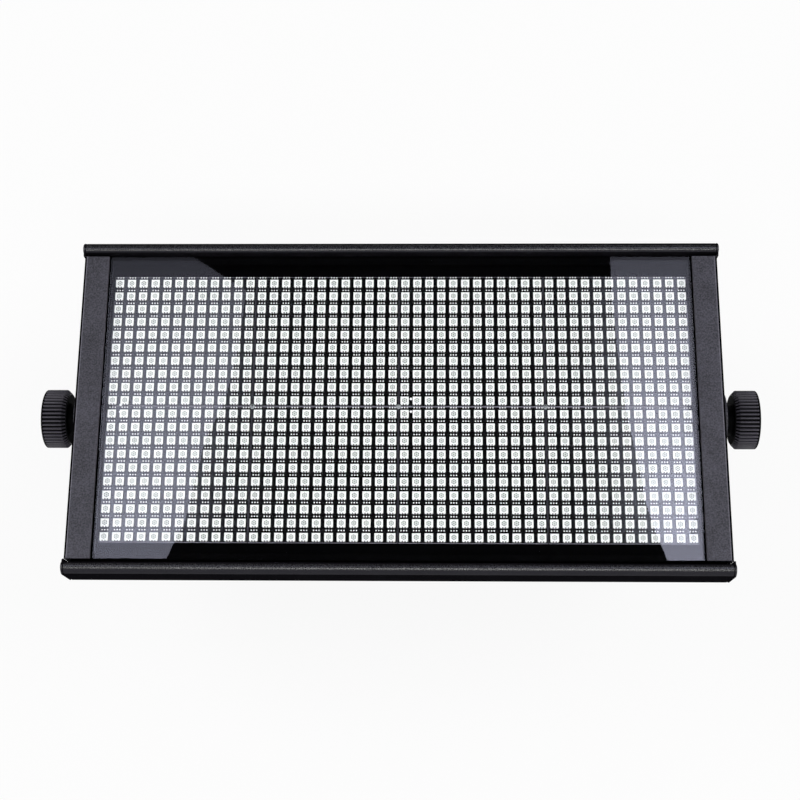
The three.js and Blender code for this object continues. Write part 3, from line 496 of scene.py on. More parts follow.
# Each lamp has a place, a size, a power in watts, and whether a mirror shows it.
LAMPS = {
    "left_lamp": ((-1.6, 0.5, 1.9), (1.2, 1.2), 17, True),
    "right_lamp": ((1.6, 0.3, 1.9), (1.2, 1.2), 17, True),
    "front_lamp": ((0, -1.1, 2.1), (1.8, 0.3), 14, True),
    "back_lamp": ((0, 2.2, 1.2), (2.0, 1.0), 3, False),
}
LAMP_TARGET = Vector((0, 0, 0.12))
for name, (place, size, watts, mirrored) in LAMPS.items():
    lamp = bpy.data.lights.new(name, "AREA")
    lamp.shape = "RECTANGLE"
    lamp.size, lamp.size_y = size
    lamp.energy = watts
    holder = in_scene(name, lamp)
    holder.location = place
    holder.rotation_euler = (LAMP_TARGET - Vector(place)).to_track_quat("-Z", "Y").to_euler()
    holder.visible_glossy = mirrored

# %% [markdown]
# Two soft panels hang over the head. Only shiny surfaces see them, and they give the two pale
# veils that lie over the glass. Their inner edges bend as the veils' edges do.


# %% Panels that mirror in the glass
PANEL_LEVEL, PANEL_FADE, PANEL_OUT = 2.0, (0.2, 0.85), 1.3


def soft_panel(name, outline, low, high):
    """A glowing sheet. Its strength goes from low to high along Y."""
    material = bpy.data.materials.new(name + "_cloth")
    material.use_nodes = True
    tree = material.node_tree
    tree.nodes.clear()
    place = add_node(tree, "ShaderNodeTexCoord")
    along = add_node(tree, "ShaderNodeSeparateXYZ", Vector=place.outputs["Object"])
    level = ranged(tree, along.outputs["Y"], PANEL_FADE, (low, high))
    glow = add_node(tree, "ShaderNodeEmission", Color=srgb("#e4e6ff"), Strength=level)
    clear = add_node(tree, "ShaderNodeBsdfTransparent")
    ray = add_node(tree, "ShaderNodeLightPath").outputs
    add_node(tree, "ShaderNodeOutputMaterial",
             Surface=mixed(tree, ray["Is Glossy Ray"], clear.outputs[0], glow.outputs[0]))
    staged_sheet(name, outline, PANEL_LEVEL, material)


soft_panel("left_panel", [(-0.344, 0.755), (-0.355, 0.632), (-0.376, 0.532), (-0.410, 0.454),
                          (-0.426, 0.376), (-0.441, 0.300), (-0.474, 0.225), (-0.500, 0.050),
                          (-PANEL_OUT, 0.05), (-PANEL_OUT, 1.383)], 1.95, 0.42)
soft_panel("right_panel", [(0.364, 0.821), (0.365, 0.734), (0.371, 0.643), (0.387, 0.494), (0.406, 0.398),
                           (0.413, 0.341), (0.429, 0.284), (0.450, 0.229), (0.50, 0.05), (PANEL_OUT, 0.05),
                           (PANEL_OUT, 1.2), (0.364, 1.2)], 3.4, 0.8)
print("room ready")

# %% [markdown]
# Each finish is a small node tree on Object coordinates. A fine grain moves the roughness and
# stands up as a bump, and a slow cloud shifts the colour between two close tones. Grain, cloud
# and bump are real lengths.


# %% Finishes
CLOUD, CLOUD_SHARE, TINT_BAND, GLOSS_BAND = 20 * MM, 0.25, (0.38, 0.62), (0.3, 0.7)


def finish_material(name, colour, second, roughness, spread, grain, relief, stretch=(1, 1, 1), **values):
    """A finish of two tones. Its grain and the relief of its grain are in millimetres."""
    material, tree, shader = new_material(name, **values)

    def noise(size, softness):
        return add_node(tree, "ShaderNodeTexNoise", Vector=object_coordinates(tree, 1 / size, stretch),
                        Scale=1.0, Detail=3.0, Roughness=softness).outputs[0]

    fine, slow = noise(grain * MM, 0.6), noise(CLOUD, 0.55)
    parts = add_node(tree, "ShaderNodeMix", {"data_type": "FLOAT"}, Factor=CLOUD_SHARE, A=fine, B=slow)
    amount = ranged(tree, parts.outputs[0], TINT_BAND)
    tint = tinted(tree, amount, colour, second)
    gloss = ranged(tree, fine, GLOSS_BAND, (roughness - spread, roughness + spread))
    bump = add_node(tree, "ShaderNodeBump", Height=fine, Distance=relief * MM, Strength=1.0)
    tree.links.new(tint, shader.inputs["Base Color"])
    tree.links.new(gloss, shader.inputs["Roughness"])
    tree.links.new(bump.outputs[0], shader.inputs["Normal"])
    return material


FINISHES = {
    # Near black with a sheen, so that a highlight runs along the bars' noses.
    "black_anodised": finish_material("black_anodised_aluminium", "#09080b", "#232228", 0.27, 0.08, 0.6,
                                      0.12, IOR=1.77),
    # Dark grey with a grain that a hand would feel, as on the flanges, the cover and the yoke.
    "black_powder_coat": finish_material("black_powder_coat", "#1f1e25", "#4d4c57", 0.52, 0.1, 0.9, 0.16),
    # Plain moulded black with an even, soft gloss.
    "black_plastic": finish_material("black_moulded_plastic", "#0e0d11", "#161518", 0.42, 0.08, 0.4, 0.03),
    # A lighter grey, which sets the buttons off from their panel.
    "grey_plastic": finish_material("grey_moulded_plastic", "#4a4a50", "#55555b", 0.5, 0.06, 0.4, 0.02),
    # Dull black that takes no highlight.
    "black_rubber": finish_material("black_rubber", "#101011", "#18181a", 0.85, 0.06, 0.6, 0.04),
    # Black and smooth enough to mirror the soft panels between the lamps.
    "lamp_board": finish_material("black_solder_mask", "#020203", "#040405", 0.13, 0.03, 1.2, 0.001,
                                  IOR=1.65, Specular_IOR_Level=1.0),
    # The green of a common circuit board, with a low gloss.
    "green_board": finish_material("green_solder_mask", "#123b22", "#1a4c2d", 0.35, 0.05, 1.5, 0.01),
    # Bright metal drawn along X, as an extruded heat sink is.
    "aluminium": finish_material("bare_aluminium", "#b8babc", "#a4a6a9", 0.36, 0.08, 0.5, 0.01,
                                 stretch=(0.06, 1, 1), Metallic=1.0),
    # Bright metal for screws, wires, pins and studs.
    "steel": finish_material("zinc_plated_steel", "#a9abad", "#95979b", 0.3, 0.08, 0.8, 0.01, Metallic=1.0),
    # Creamy and half dull, for the washers.
    "nylon": finish_material("natural_nylon", "#d8d5c9", "#cbc7b9", 0.5, 0.06, 0.8, 0.01),
    # Glossier black than the coat round it, which marks the control panel.
    "panel_lacquer": finish_material("black_panel_lacquer", "#0b0b0d", "#101013", 0.25, 0.05, 0.6, 0.01),
    # Nearly a mirror, with the blue cast of a display that is off.
    "display": finish_material("display_glass", "#0a1018", "#0d1520", 0.08, 0.02, 3, 0.001),
}
print(len(FINISHES), "finishes")

# %% [markdown]
# Glass is a clear Principled shader with a trace of dust. Lamps reach what lies behind it,
# because a shadow ray passes straight through.

# %% Glass
DUST_SIZE, DUST_BAND, DUST_HAZE = 9 * MM, (0.45, 0.8), 0.012
glass, tree, shader = new_material("low_iron_glass", Base_Color=srgb("#fbfcfc"), Roughness=0.0, IOR=1.5,
                                   Transmission_Weight=1.0)
dust = add_node(tree, "ShaderNodeTexNoise", Vector=object_coordinates(tree, 1 / DUST_SIZE), Scale=1.0,
                Detail=4.0)
haze = ranged(tree, dust.outputs[0], DUST_BAND, (0.0, DUST_HAZE))
tree.links.new(haze, shader.inputs["Roughness"])
ray = add_node(tree, "ShaderNodeLightPath").outputs
clear = add_node(tree, "ShaderNodeBsdfTransparent", Color=srgb("#fcfdfd"))
pane_or_shadow = mixed(tree, ray["Is Shadow Ray"], shader.outputs[0], clear.outputs[0])
tree.links.new(pane_or_shadow, tree.nodes["Material Output"].inputs["Surface"])
FINISHES["front_glass"] = glass

# %% [markdown]
# Most pieces of the frame only need their sharp edges broken and a finish. Each one is copied,
# its flat faces are merged, its edges get a small bevel and the copy stands for the CAD piece.

# %% Pieces that keep their shape
NODE_SLOT = {row["node"]: row["material_slot"] for row in frame["record"]["subparts"]}
NODE_BODY = {node: piece["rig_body"] for node, piece in frame["nodes"].items()}
DONE = set()


def stands_for(piece, *nodes):
    """Seats a finished piece: it rides on its nodes' body and takes their place."""
    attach(piece, NODE_BODY[nodes[0]])
    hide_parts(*nodes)
    DONE.update(nodes)
    return piece


def whole_faces(node):
    """The mesh of a CAD piece, with each flat face in one instead of cut into triangles."""
    bm = bmesh.new()
    bm.from_mesh(frame["nodes"][node].data)
    bmesh.ops.remove_doubles(bm, verts=bm.verts, dist=1e-6)
    bmesh.ops.dissolve_limit(bm, angle_limit=math.radians(1), verts=bm.verts, edges=bm.edges)
    return bm


def refined(node, edge=0.25 * MM, segments=2):
    piece = finish_mesh(f"{node}_shell", whole_faces(node), FINISHES[NODE_SLOT[node]], 180)
    return stands_for(plain_mesh(bevelled(piece, edge, segments)), node)

# %% [markdown]
# ## The light array
#
# Each of the eight boards carries twelve columns and ten rows of white lamps. A lamp is a
# moulded body with a round window in it. Three tinned leads fold down its lower side, with
# near black boxes of painted shade between them, and three soldered pads lie a little above its upper edge.

# %% Sizes of the array
COLUMN_PITCH, ROW_PITCH = 6.9 * MM, 7.82 * MM
COLUMNS, ROWS = 12, 10
LAMP_HALF, LAMP_HEIGHT, LAMP_DRAFT = 2.35 * MM, 1.6 * MM, 0.55 * MM
WINDOW_RADIUS, WINDOW_DEPTH = 1.6 * MM, 0.2 * MM
LAMP_CORNER, TOP_TRIM = 0.18 * MM, 0.14 * MM
LEAD_PITCH, LEAD_HALF, LEAD_DROP, LEAD_INSET, GAP_HALF = in_mm([(1.5, 0.38, 0.26, 0.3, 0.38)])[0]
PAD_RADIUS, PAD_RISE, PAD_LEVEL, ROW_SHIFT = 0.4 * MM, 1.57 * MM, 0.05 * MM, -0.55 * MM
BOARD_FRONT, BOARD_REAR = 141.0 * MM, 139.4 * MM
BOARD_HALF_X, BOARD_HALF_Y, BOARD_SEAM, BOARD_EDGE = 41.25 * MM, 38.95 * MM, 0.15 * MM, 0.24 * MM
WINDOW_STEPS = 16

# %% [markdown]
# White mouldings and tinned leads give the array its glitter. The tin is painted plain white, a painted
# glint in place of the metal's reflection, and near black painted shade between the leads keeps them apart.
# A board's cut edge is pale, with a darker copy of it as painted shade where it turns away from the light.
# The window of a lamp is pale silicone over a ring of six dark chips and one in the middle. Its
# pattern is drawn in the plan of the lamp, where a half is the middle of the window.

# %% Lamp finishes
lamp_white = finish_material("white_lamp_moulding", "#fbfbfa", "#f4f4f2", 0.42, 0.05, 0.5, 0.004)
# Near black painted shade for the gaps between the leads, where the white side wall would lie in shade.
painted_gap_shade = finish_material("shaded_moulding", "#0c0b0e", "#141316", 0.6, 0.08, 0.4, 0.004)
# Tin painted plain white, a painted glint in place of the metal's reflection; leads, pads and aiming marks
# use it.
solder = finish_material("tinned_solder", "#ffffff", "#f2f2f5", 0.4, 0.08, 0.25, 0.01)
fibre_edge = finish_material("cut_fibreglass_edge", "#a19dab", "#7f7b88", 0.6, 0.08, 0.3, 0.02)
# A darker copy of the cut edge: painted shade where an edge turns away from the light.
painted_edge_shade = finish_material("shaded_fibreglass_edge", "#57545e", "#434049", 0.6, 0.08, 0.3, 0.02)
CHIPS, CHIP_RING, CHIP_EDGE, MIDDLE_EDGE = 6, 0.275, (0.05, 0.11), (0.04, 0.11)
window, tree, shader = new_material("lamp_window_silicone", IOR=1.42)
seat = add_node(tree, "ShaderNodeUVMap", {"uv_map": "UVMap"})
centred = add_node(tree, "ShaderNodeVectorMath", {"operation": "SUBTRACT"}, i0=seat.outputs[0],
                   i1=(0.5, 0.5, 0)).outputs[0]
flat = add_node(tree, "ShaderNodeSeparateXYZ", Vector=centred).outputs
reach = add_node(tree, "ShaderNodeVectorMath", {"operation": "LENGTH"}, i0=centred).outputs["Value"]
round_it = calc(tree, "MULTIPLY_ADD", calc(tree, "ARCTAN2", flat["Y"], flat["X"]), float(CHIPS), math.pi)
spotted = ranged(tree, calc(tree, "COSINE", round_it), (-0.6, 0.7), (0.3, 1.0))
off_ring = calc(tree, "ABSOLUTE", calc(tree, "SUBTRACT", reach, CHIP_RING))
spots = calc(tree, "MULTIPLY", ranged(tree, off_ring, CHIP_EDGE, (1.0, 0.0), smooth=True), spotted)
middle = ranged(tree, reach, MIDDLE_EDGE, (0.85, 0.0), smooth=True)
own = add_node(tree, "ShaderNodeAttribute", {"attribute_name": "shade"}).outputs["Fac"]
own_share = ranged(tree, own, (0.0, 1.0), (0.6, 1.0))
amount = calc(tree, "MULTIPLY", calc(tree, "MAXIMUM", spots, middle), own_share)
tree.links.new(tinted(tree, amount, "#d9dcd8", "#262b28"), shader.inputs["Base Color"])
tree.links.new(ranged(tree, own, (0.0, 1.0), (0.18, 0.3)), shader.inputs["Roughness"])


# %% Parts of one lamp
def with_plan_uv(bm, half):
    """Lays the plan of a part in a UV map, with the middle at one half."""
    layer = bm.loops.layers.uv.new("UVMap")
    for face in bm.faces:
        for loop in face.loops:
            x, y = loop.vert.co.xy
            loop[layer].uv = (0.5 + x / (2 * half), 0.5 + y / (2 * half))


def lamp_part(name, bm):
    with_plan_uv(bm, LAMP_HALF)
    mesh = bpy.data.meshes.new(name)
    bmesh.ops.recalc_face_normals(bm, faces=bm.faces)
    bm.to_mesh(mesh)
    bm.free()
    return bpy.data.objects.new(name, mesh)


def loop_of(bm, points, z):
    return [bm.verts.new((x, y, z)) for x, y in points]


def square(half):
    """The corners of the moulding, which is a little shorter on its upper side."""
    return [(half, half - TOP_TRIM), (-half, half - TOP_TRIM), (-half, -half), (half, -half)]


def lamp_body():
    bm = bmesh.new()
    corner = LAMP_CORNER
    foot = loop_of(bm, square(LAMP_HALF - LAMP_DRAFT), 0)
    shoulder = loop_of(bm, square(LAMP_HALF), LAMP_HEIGHT - corner)
    bridge(bm, foot, shoulder)
    rim = loop_of(bm, square(LAMP_HALF - corner), LAMP_HEIGHT)
    bridge(bm, shoulder, rim)
    mouth = loop_of(bm, circle(WINDOW_RADIUS, WINDOW_STEPS, start=math.pi / 4), LAMP_HEIGHT)
    step = WINDOW_STEPS // 4
    for k in range(4):
        arc = [mouth[(k * step + i) % WINDOW_STEPS] for i in range(step + 1)]
        bm.faces.new([rim[k], rim[(k + 1) % 4], *reversed(arc)])
    bridge(bm, mouth, window_edge(bm))
    return lamp_part("lamp_body", bm)


def window_edge(bm):
    edge = circle(WINDOW_RADIUS * 0.9, WINDOW_STEPS, start=math.pi / 4)
    return loop_of(bm, edge, LAMP_HEIGHT - WINDOW_DEPTH)


def lamp_window():
    bm = bmesh.new()
    bm.faces.new(window_edge(bm))
    return lamp_part("lamp_window", bm)


def lamp_gaps():
    """Near black boxes of painted shade between the leads, let a little into the lower edge of the
    moulding.
    """
    bm = bmesh.new()
    proud, top = 0.03 * MM, 0.02 * MM
    for k in (-0.5, 0.5):
        middle = k * LEAD_PITCH
        box(bm, (middle - GAP_HALF, -LAMP_HALF - proud, 0),
            (middle + GAP_HALF, LEAD_INSET - LAMP_HALF, LAMP_HEIGHT + top))
    return lamp_part("lamp_gap", bm)


def lamp_leads():
    """Three leads that fold down the lower side, and the soldered pads of the next row of leads."""
    bm = bmesh.new()
    for k in (-1, 0, 1):
        middle = k * LEAD_PITCH
        box(bm, (middle - LEAD_HALF, -LAMP_HALF - LEAD_DROP, LAMP_HEIGHT * 0.6),
            (middle + LEAD_HALF, LEAD_INSET - LAMP_HALF, LAMP_HEIGHT * 0.85))
        pad = circle(PAD_RADIUS, 8, middle, LAMP_HALF + PAD_RISE, start=math.pi / 8)
        bm.faces.new(loop_of(bm, pad, PAD_LEVEL))
    return lamp_part("lamp_lead", bm)


LAMP_PARTS = [(lamp_body(), lamp_white), (lamp_window(), window), (lamp_gaps(), painted_gap_shade),
              (lamp_leads(), solder)]
print("faces of one lamp:", sum(len(part.data.polygons) for part, _ in LAMP_PARTS))

# %% [markdown]
# A board is a black plate whose cut edges show pale fibreglass. The boards at the two ends of
# the array have half-round notches, where pillars and screws pass them.


# %% Boards
NOTCH, SMALL_NOTCH, NOTCH_PLACE, SMALL_NOTCH_PLACE = 5.7 * MM, 3.1 * MM, 9.15 * MM, 11.5 * MM
BOARD_MARKS = {1: (-157.7, 0.9), 3: (7.0, 4.6), 5: (-157.7, -3.2), 7: (7.0, -2.8)}
MARK_RADIUS, MARK_LEVEL = 0.75 * MM, BOARD_FRONT + 0.03 * MM
SEAM_SCREW = in_mm([(0, 141.9), (0.7, 141.85), (1.3, 141.5), (1.45, 141.02), (0, 141.02)])
SCREW_BOARDS, EDGE_SLOPES, DIM_SHARE = (1, 2, 3), (0.2, 0.95), 0.69


def board_outline(across, down):
    """The outline of a board. across and down give the side of the array it lies on, or zero."""
    hx, hy = BOARD_HALF_X, BOARD_HALF_Y
    points = [(-hx, -hy), (hx, -hy), (hx, hy), (-hx, hy)]
    if not across:
        return points
    upper, seam = down > 0, BOARD_SEAM
    notches = [(down * (hy - NOTCH_PLACE), NOTCH), (-down * (hy + seam), SMALL_NOTCH)]
    if not upper:
        notches.append((hy + seam - SMALL_NOTCH_PLACE, SMALL_NOTCH))
    edge = [(across * hx, -hy), (across * hx, hy)]
    for middle, radius in notches:
        bite = circle(radius, 15, across * (hx + seam), middle, start=-math.pi / 2, sweep=-across * math.pi)
        kept = [(x, y) for x, y in bite if abs(x) < hx - 0.02 * MM and abs(y) < hy - 0.02 * MM]
        ends = []
        reach = math.sqrt(radius ** 2 - seam ** 2)
        for end in (-1, 1):
            if abs(middle + end * reach) < hy:
                ends.append((across * hx, middle + end * reach))
            else:
                inward = math.sqrt(max(radius ** 2 - (hy - abs(middle)) ** 2, 0))
                ends.append((across * (hx + seam - inward), math.copysign(hy, middle)))
                edge = [p for p in edge if abs(p[1] - math.copysign(hy, middle)) > 1e-6]
        edge += [ends[0], *kept, ends[1]]
    edge.sort(key=lambda p: (p[1], abs(p[0]) if p[1] < 0 else -abs(p[0])))
    other = [(-across * hx, hy), (-across * hx, -hy)]
    return edge + other if across > 0 else (edge + other)[::-1]


def small_parts(number, x, y):
    """Round aiming marks on the outer and inner boards, and the screws where four boards meet."""
    bm = bmesh.new()
    if number in BOARD_MARKS:
        spot = in_mm([BOARD_MARKS[number]])[0]
        bm.faces.new(loop_of(bm, circle(MARK_RADIUS, 16, *spot), MARK_LEVEL))
    marks = finish_mesh("marks", bm, solder, 0)
    if number not in SCREW_BOARDS:
        return [marks]
    corner = (x + BOARD_HALF_X + BOARD_SEAM, y - BOARD_HALF_Y - BOARD_SEAM)
    return [marks, turned_piece("screw", SEAM_SCREW, FINISHES["steel"], corner, steps=20)]


def board(number):
    column, row = (number - 1) % 4, (number - 1) // 4
    x = (column - 1.5) * COLUMNS * COLUMN_PITCH
    y = (0.5 - row) * ROWS * ROW_PITCH
    across = {0: -1, 3: 1}.get(column, 0)
    bm = bmesh.new()
    outline = [(x + a, y + b) for a, b in board_outline(across, 1 if row == 0 else -1)]
    prism(bm, outline, "z", BOARD_REAR, BOARD_FRONT)
    plate = plain_mesh(bevelled(finish_mesh("plate", bm, FINISHES["lamp_board"], 0), BOARD_EDGE, 1, 60))

    # Cut edges that look along X take the darker copy, which is painted shade.
    def edge_finish(face):
        if EDGE_SLOPES[0] < abs(face.normal.z) < EDGE_SLOPES[1]:
            return 1 if abs(face.normal.x) > DIM_SHARE else 0

    pieces = [paint(plate, (fibre_edge, painted_edge_shade), edge_finish), *small_parts(number, x, y)]
    for part, material in LAMP_PARTS:
        pieces.append(repeated(part.name + "s", GRID, Columns=COLUMNS, Rows=ROWS, Pitch_X=COLUMN_PITCH,
                               Pitch_Y=ROW_PITCH, Centre=(x, y + ROW_SHIFT, BOARD_FRONT), Part=part,
                               Seed=number, Material=material))
    return stands_for(joined(f"lamp_board_{number}_panel", pieces), f"lamp_board_{number}")


for number in range(1, 9):
    board(number)
print("boards:", len(DONE))

# %% [markdown]
# ## The frame round the light
#
# Two extruded bars with a round nose run along the long edges. The extrusion is one outline,
# pushed along X, and its nose needs many short steps, because a highlight runs along it.
# Stamped caps, a little larger than the outline, close the ends.

# %% Bars and end caps
PIVOT = 115.0 * MM
BAR_INNER, BAR_OUTER = 89.9 * MM, 96.8 * MM
NOSE_BASE, NOSE_DEPTH, BAR_REAR = 147.1 * MM, 4.5 * MM, 128.6 * MM
BAR_WALL, BAR_LIP, LEDGE_REACH, LEDGE_FRONT = 1.6 * MM, 2.2 * MM, 7.5 * MM, 136.8 * MM
BAR_END, CAP_INNER, CAP_OUTER = 181.8 * MM, 182.1 * MM, 183.3 * MM
CAP_EDGE, CAP_LIP, CAP_TAB, CAP_CORNER = 0.1 * MM, 88.25 * MM, 149.5 * MM, 0.4 * MM
NOSE_STEPS, NOSE_SKEW = 20, 0.7 * MM
STEEP_SHARE, LOW_SIDE_SHARE = 0.86, 0.35
# Faces that look sideways carry painted shade: their reflection is taken out, so that they take no shine
# from the floor.
# The shoulders of the nose carry a painted sheen, a lighter tone with almost no reflection, between the
# dark walls and the glossy crest.
painted_shade_wall = finish_material("matt_anodised_wall", "#0f0e11", "#19181c", 0.7, 0.08, 0.5, 0.05,
                            Specular_IOR_Level=0.0)
painted_sheen_shoulder = finish_material("satin_anodised_shoulder", "#29282d", "#343338", 0.6, 0.08, 0.5, 0.05,
                                 Specular_IOR_Level=0.05)


def nose(side, extra=0.0):
    middle = (BAR_INNER + BAR_OUTER) / 2
    reach = (BAR_OUTER - BAR_INNER) / 2 + extra
    arc = circle(1.0, NOSE_STEPS + 1, sweep=math.pi)
    return [(side * (middle + reach * a - NOSE_SKEW * b), NOSE_BASE + (NOSE_DEPTH + extra) * b)
            for a, b in arc]


def side_finish(face):
    """Painted shade for a cap's tab and for what looks sideways, painted sheen for a shoulder, else the
    gloss.
    """
    on_tab = face.center.z > CAP_TAB - 1 * MM and abs(face.center.y) < BAR_INNER + 0.4 * MM
    if on_tab or abs(face.normal.z) < (STEEP_SHARE if face.normal.y > 0 else LOW_SIDE_SHARE):
        return 0
    return 1 if face.normal.z < STEEP_SHARE else None


def anodised(name, bm, edge, segments):
    piece = finish_mesh(name, bm, FINISHES["black_anodised"], 180)
    return paint(plain_mesh(bevelled(piece, edge, segments)), (painted_shade_wall, painted_sheen_shoulder), side_finish)


def bar(name, side):
    wall, lip, ledge = BAR_OUTER - BAR_WALL, NOSE_BASE - BAR_LIP, BAR_OUTER - LEDGE_REACH
    inner = [(BAR_INNER, lip), (wall, lip), (wall, LEDGE_FRONT), (ledge, LEDGE_FRONT),
             (ledge, LEDGE_FRONT - BAR_WALL), (wall, LEDGE_FRONT - BAR_WALL), (wall, BAR_REAR + BAR_WALL),
             (ledge, BAR_REAR + BAR_WALL), (ledge, BAR_REAR)]
    bm = bmesh.new()
    outline = [(side * BAR_OUTER, BAR_REAR), *nose(side), *[(side * y, z) for y, z in inner]]
    prism(bm, outline, "x", -BAR_END, BAR_END)
    stands_for(anodised(f"{name}_extrusion", bm, 0.25 * MM, 2), name)


def end_cap(name, side, end):
    bm = bmesh.new()
    front = [(y, z) for y, z in nose(side, CAP_EDGE) if abs(y) > BAR_INNER + 1.0 * MM or z > CAP_TAB]
    tab = [(CAP_LIP + CAP_CORNER, CAP_TAB), (CAP_LIP, CAP_TAB - CAP_CORNER), (CAP_LIP, BAR_REAR)]
    outline = [(side * (BAR_OUTER + CAP_EDGE), BAR_REAR), *front, *[(side * y, z) for y, z in tab]]
    prism(bm, outline, "x", *sorted((end * CAP_INNER, end * CAP_OUTER)))
    stands_for(anodised(f"{name}_stamping", bm, 0.45 * MM, 3), name)


SIDES = (("left", -1), ("right", 1))
for name, side in (("top", 1), ("bottom", -1)):
    bar(f"{name}_bar", side)
    for way, end in SIDES:
        end_cap(f"{name}_{way}_end_cap", side, end)
print("bars and caps made")

# %% [markdown]
# The side plates and the rear cover are folded sheet. A fold has an outer radius of about the
# sheet's thickness, while cut edges are nearly sharp. A bevel with weights gives each edge its
# own radius.


# %% Folded sheet
def folded(node, name, on_fold, radius, edge=0.2 * MM, segments=4):
    """Copies a sheet node and rounds its folds and its cut edges. on_fold tells them apart."""
    bm = whole_faces(node)
    weight = bm.edges.layers.float.new("bevel_weight_edge")
    for line in bm.edges:
        if len(line.link_faces) == 2 and line.calc_face_angle(0) > math.radians(25):
            line[weight] = 1.0 if on_fold(*[v.co for v in line.verts]) else edge / radius
    piece = finish_mesh(name, bm, FINISHES[NODE_SLOT[node]], 180)
    edges = bevelled(piece, radius, segments).modifiers["edges"]
    edges.limit_method, edges.use_clamp_overlap = "WEIGHT", False
    return stands_for(plain_mesh(piece), node)


FLANGE_FRONT, HEAD_HALF_X, FLANGE_INNER = 149.6 * MM, 182.5 * MM, 168.5 * MM
FLANGE_SPREAD, PLATE_FOLD = 0.6 * MM, 1.9 * MM
FOLD_LIGHT_SHARES, FOLD_DARK_SHARES = (0.05, 0.3), (0.3, 0.995)
# A fold has a paler painted highlight where it leaves the flange, and near black painted shade where it
# turns away.
painted_fold_highlight = finish_material("worn_powder_coat", "#55535f", "#6d6b77", 0.45, 0.08, 0.9, 0.1)
painted_fold_shade = finish_material("shaded_powder_coat", "#050506", "#0a0a0c", 0.7, 0.08, 0.9, 0.05,
                            Specular_IOR_Level=0.0)


def on_plate_fold(one, two):
    return all(abs(v.z - FLANGE_FRONT) < 1e-5 and abs(abs(v.x) - HEAD_HALF_X) < 1e-5 for v in (one, two))


# Paints the highlight and the shade on the fold by how far each face turns outwards.
def fold_finish(face):
    outward = abs(face.normal.x) if face.normal.x * face.center.x > 0 else 0
    if face.center.z > FLANGE_FRONT - PLATE_FOLD:
        for place, (least, most) in enumerate((FOLD_LIGHT_SHARES, FOLD_DARK_SHARES)):
            if least < outward < most:
                return place


for way, side in SIDES:
    sheet = folded(f"{way}_side_plate", f"{way}_side_sheet", on_plate_fold, PLATE_FOLD, segments=6)
    for vert in sheet.data.vertices:
        if abs(abs(vert.co.x) - FLANGE_INNER) < 0.25 * MM and vert.co.z > FLANGE_FRONT - 2.1 * MM:
            vert.co.x -= side * FLANGE_SPREAD
    paint(sheet, (painted_fold_highlight, painted_fold_shade), fold_finish)
print("side plates folded")

# %% [markdown]
# The glass is one pane with polished edges. Its faces stay flat, so it has no smooth shading:
# a curved normal would bend the reflections and what lies behind them.

# %% The pane
low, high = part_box("front_glass")
bm = bmesh.new()
box(bm, low, high)
pane = finish_mesh("front_pane", bm, FINISHES["front_glass"], 0)
edges = pane.modifiers.new("edges", "BEVEL")
edges.width, edges.segments = 0.5 * MM, 1
stands_for(plain_mesh(pane), "front_glass")
print("pane:", [round((b - a) / MM, 1) for a, b in zip(low, high)])

# %% [markdown]
# ## Knobs and yoke
#
# The clamp knobs are moulded: a round body with a smooth outer rim and 46 ribs, which run
# straight to the rim from a short cone towards the hub. The body is turned from one profile, and
# a node tree sets one rib round it. The ribs carry a painted highlight, a lighter plastic for their
# lit tops, and the body between them carries near black painted shade, so that the ribs stand out.

# %% Clamp knobs
KNOB_INNER, CONE_START, RIB_START, KNOB_OUTER = 187.6 * MM, 192.0 * MM, 194.2 * MM, 205.9 * MM
KNOB_BODY, RIB_TOP, CONE_LOW, HUB, RIM = 15.7 * MM, 17.0 * MM, 14.6 * MM, 9.0 * MM, 0.9 * MM
DISH, DISH_DEPTH = 11.0 * MM, 1.2 * MM
STUD, BORE_END = 4.3 * MM, 199.6 * MM
RIBS, RIB_HALF, RIB_DEPTH = 46, 0.55 * MM, 1.6 * MM
TURN, SKIN = 0.3 * MM, 0.05 * MM
# The ribs' lighter plastic is a painted highlight, and the near black body is painted shade in the grooves.
painted_rib_highlight = finish_material("worn_rib_plastic", "#3e3c44", "#535059", 0.34, 0.06, 0.4, 0.02)
groove = finish_material("shaded_groove_plastic", "#040405", "#08080a", 0.6, 0.06, 0.4, 0.02,
                         Specular_IOR_Level=0.05)


def off_axis(face):
    """How a face lies from the pivot line, seen along that line."""
    return face.center.yz - Vector((0, PIVOT))


def knob_rib(side):
    """One rib: a low rounded ridge along X, which bends down along the cone at its inner end."""
    bm = bmesh.new()
    stations = [(KNOB_OUTER - RIM, RIB_TOP, 1.0), (RIB_START + 0.1 * MM, RIB_TOP, 1.0),
                (RIB_START - 0.25 * MM, RIB_TOP - 0.5 * MM, 0.9),
                (CONE_START + 0.4 * MM, CONE_LOW + 0.4 * MM, 0.8)]
    rows = []
    for x, top, share in stations:
        half, lower = RIB_HALF * share, top - RIB_DEPTH
        section = [(-half, lower), (-half, top - half), (-half * 0.5, top - half * 0.2), (0, top),
                   (half * 0.5, top - half * 0.2), (half, top - half), (half, lower)]
        rows.append([bm.verts.new((z, y, side * x)) for y, z in section])
    bridge(bm, *rows, ends=True)
    bmesh.ops.translate(bm, verts=bm.verts, vec=(-KNOB_BODY, 0, 0))
    return as_part(finish_mesh("rib", bm, None, 45))


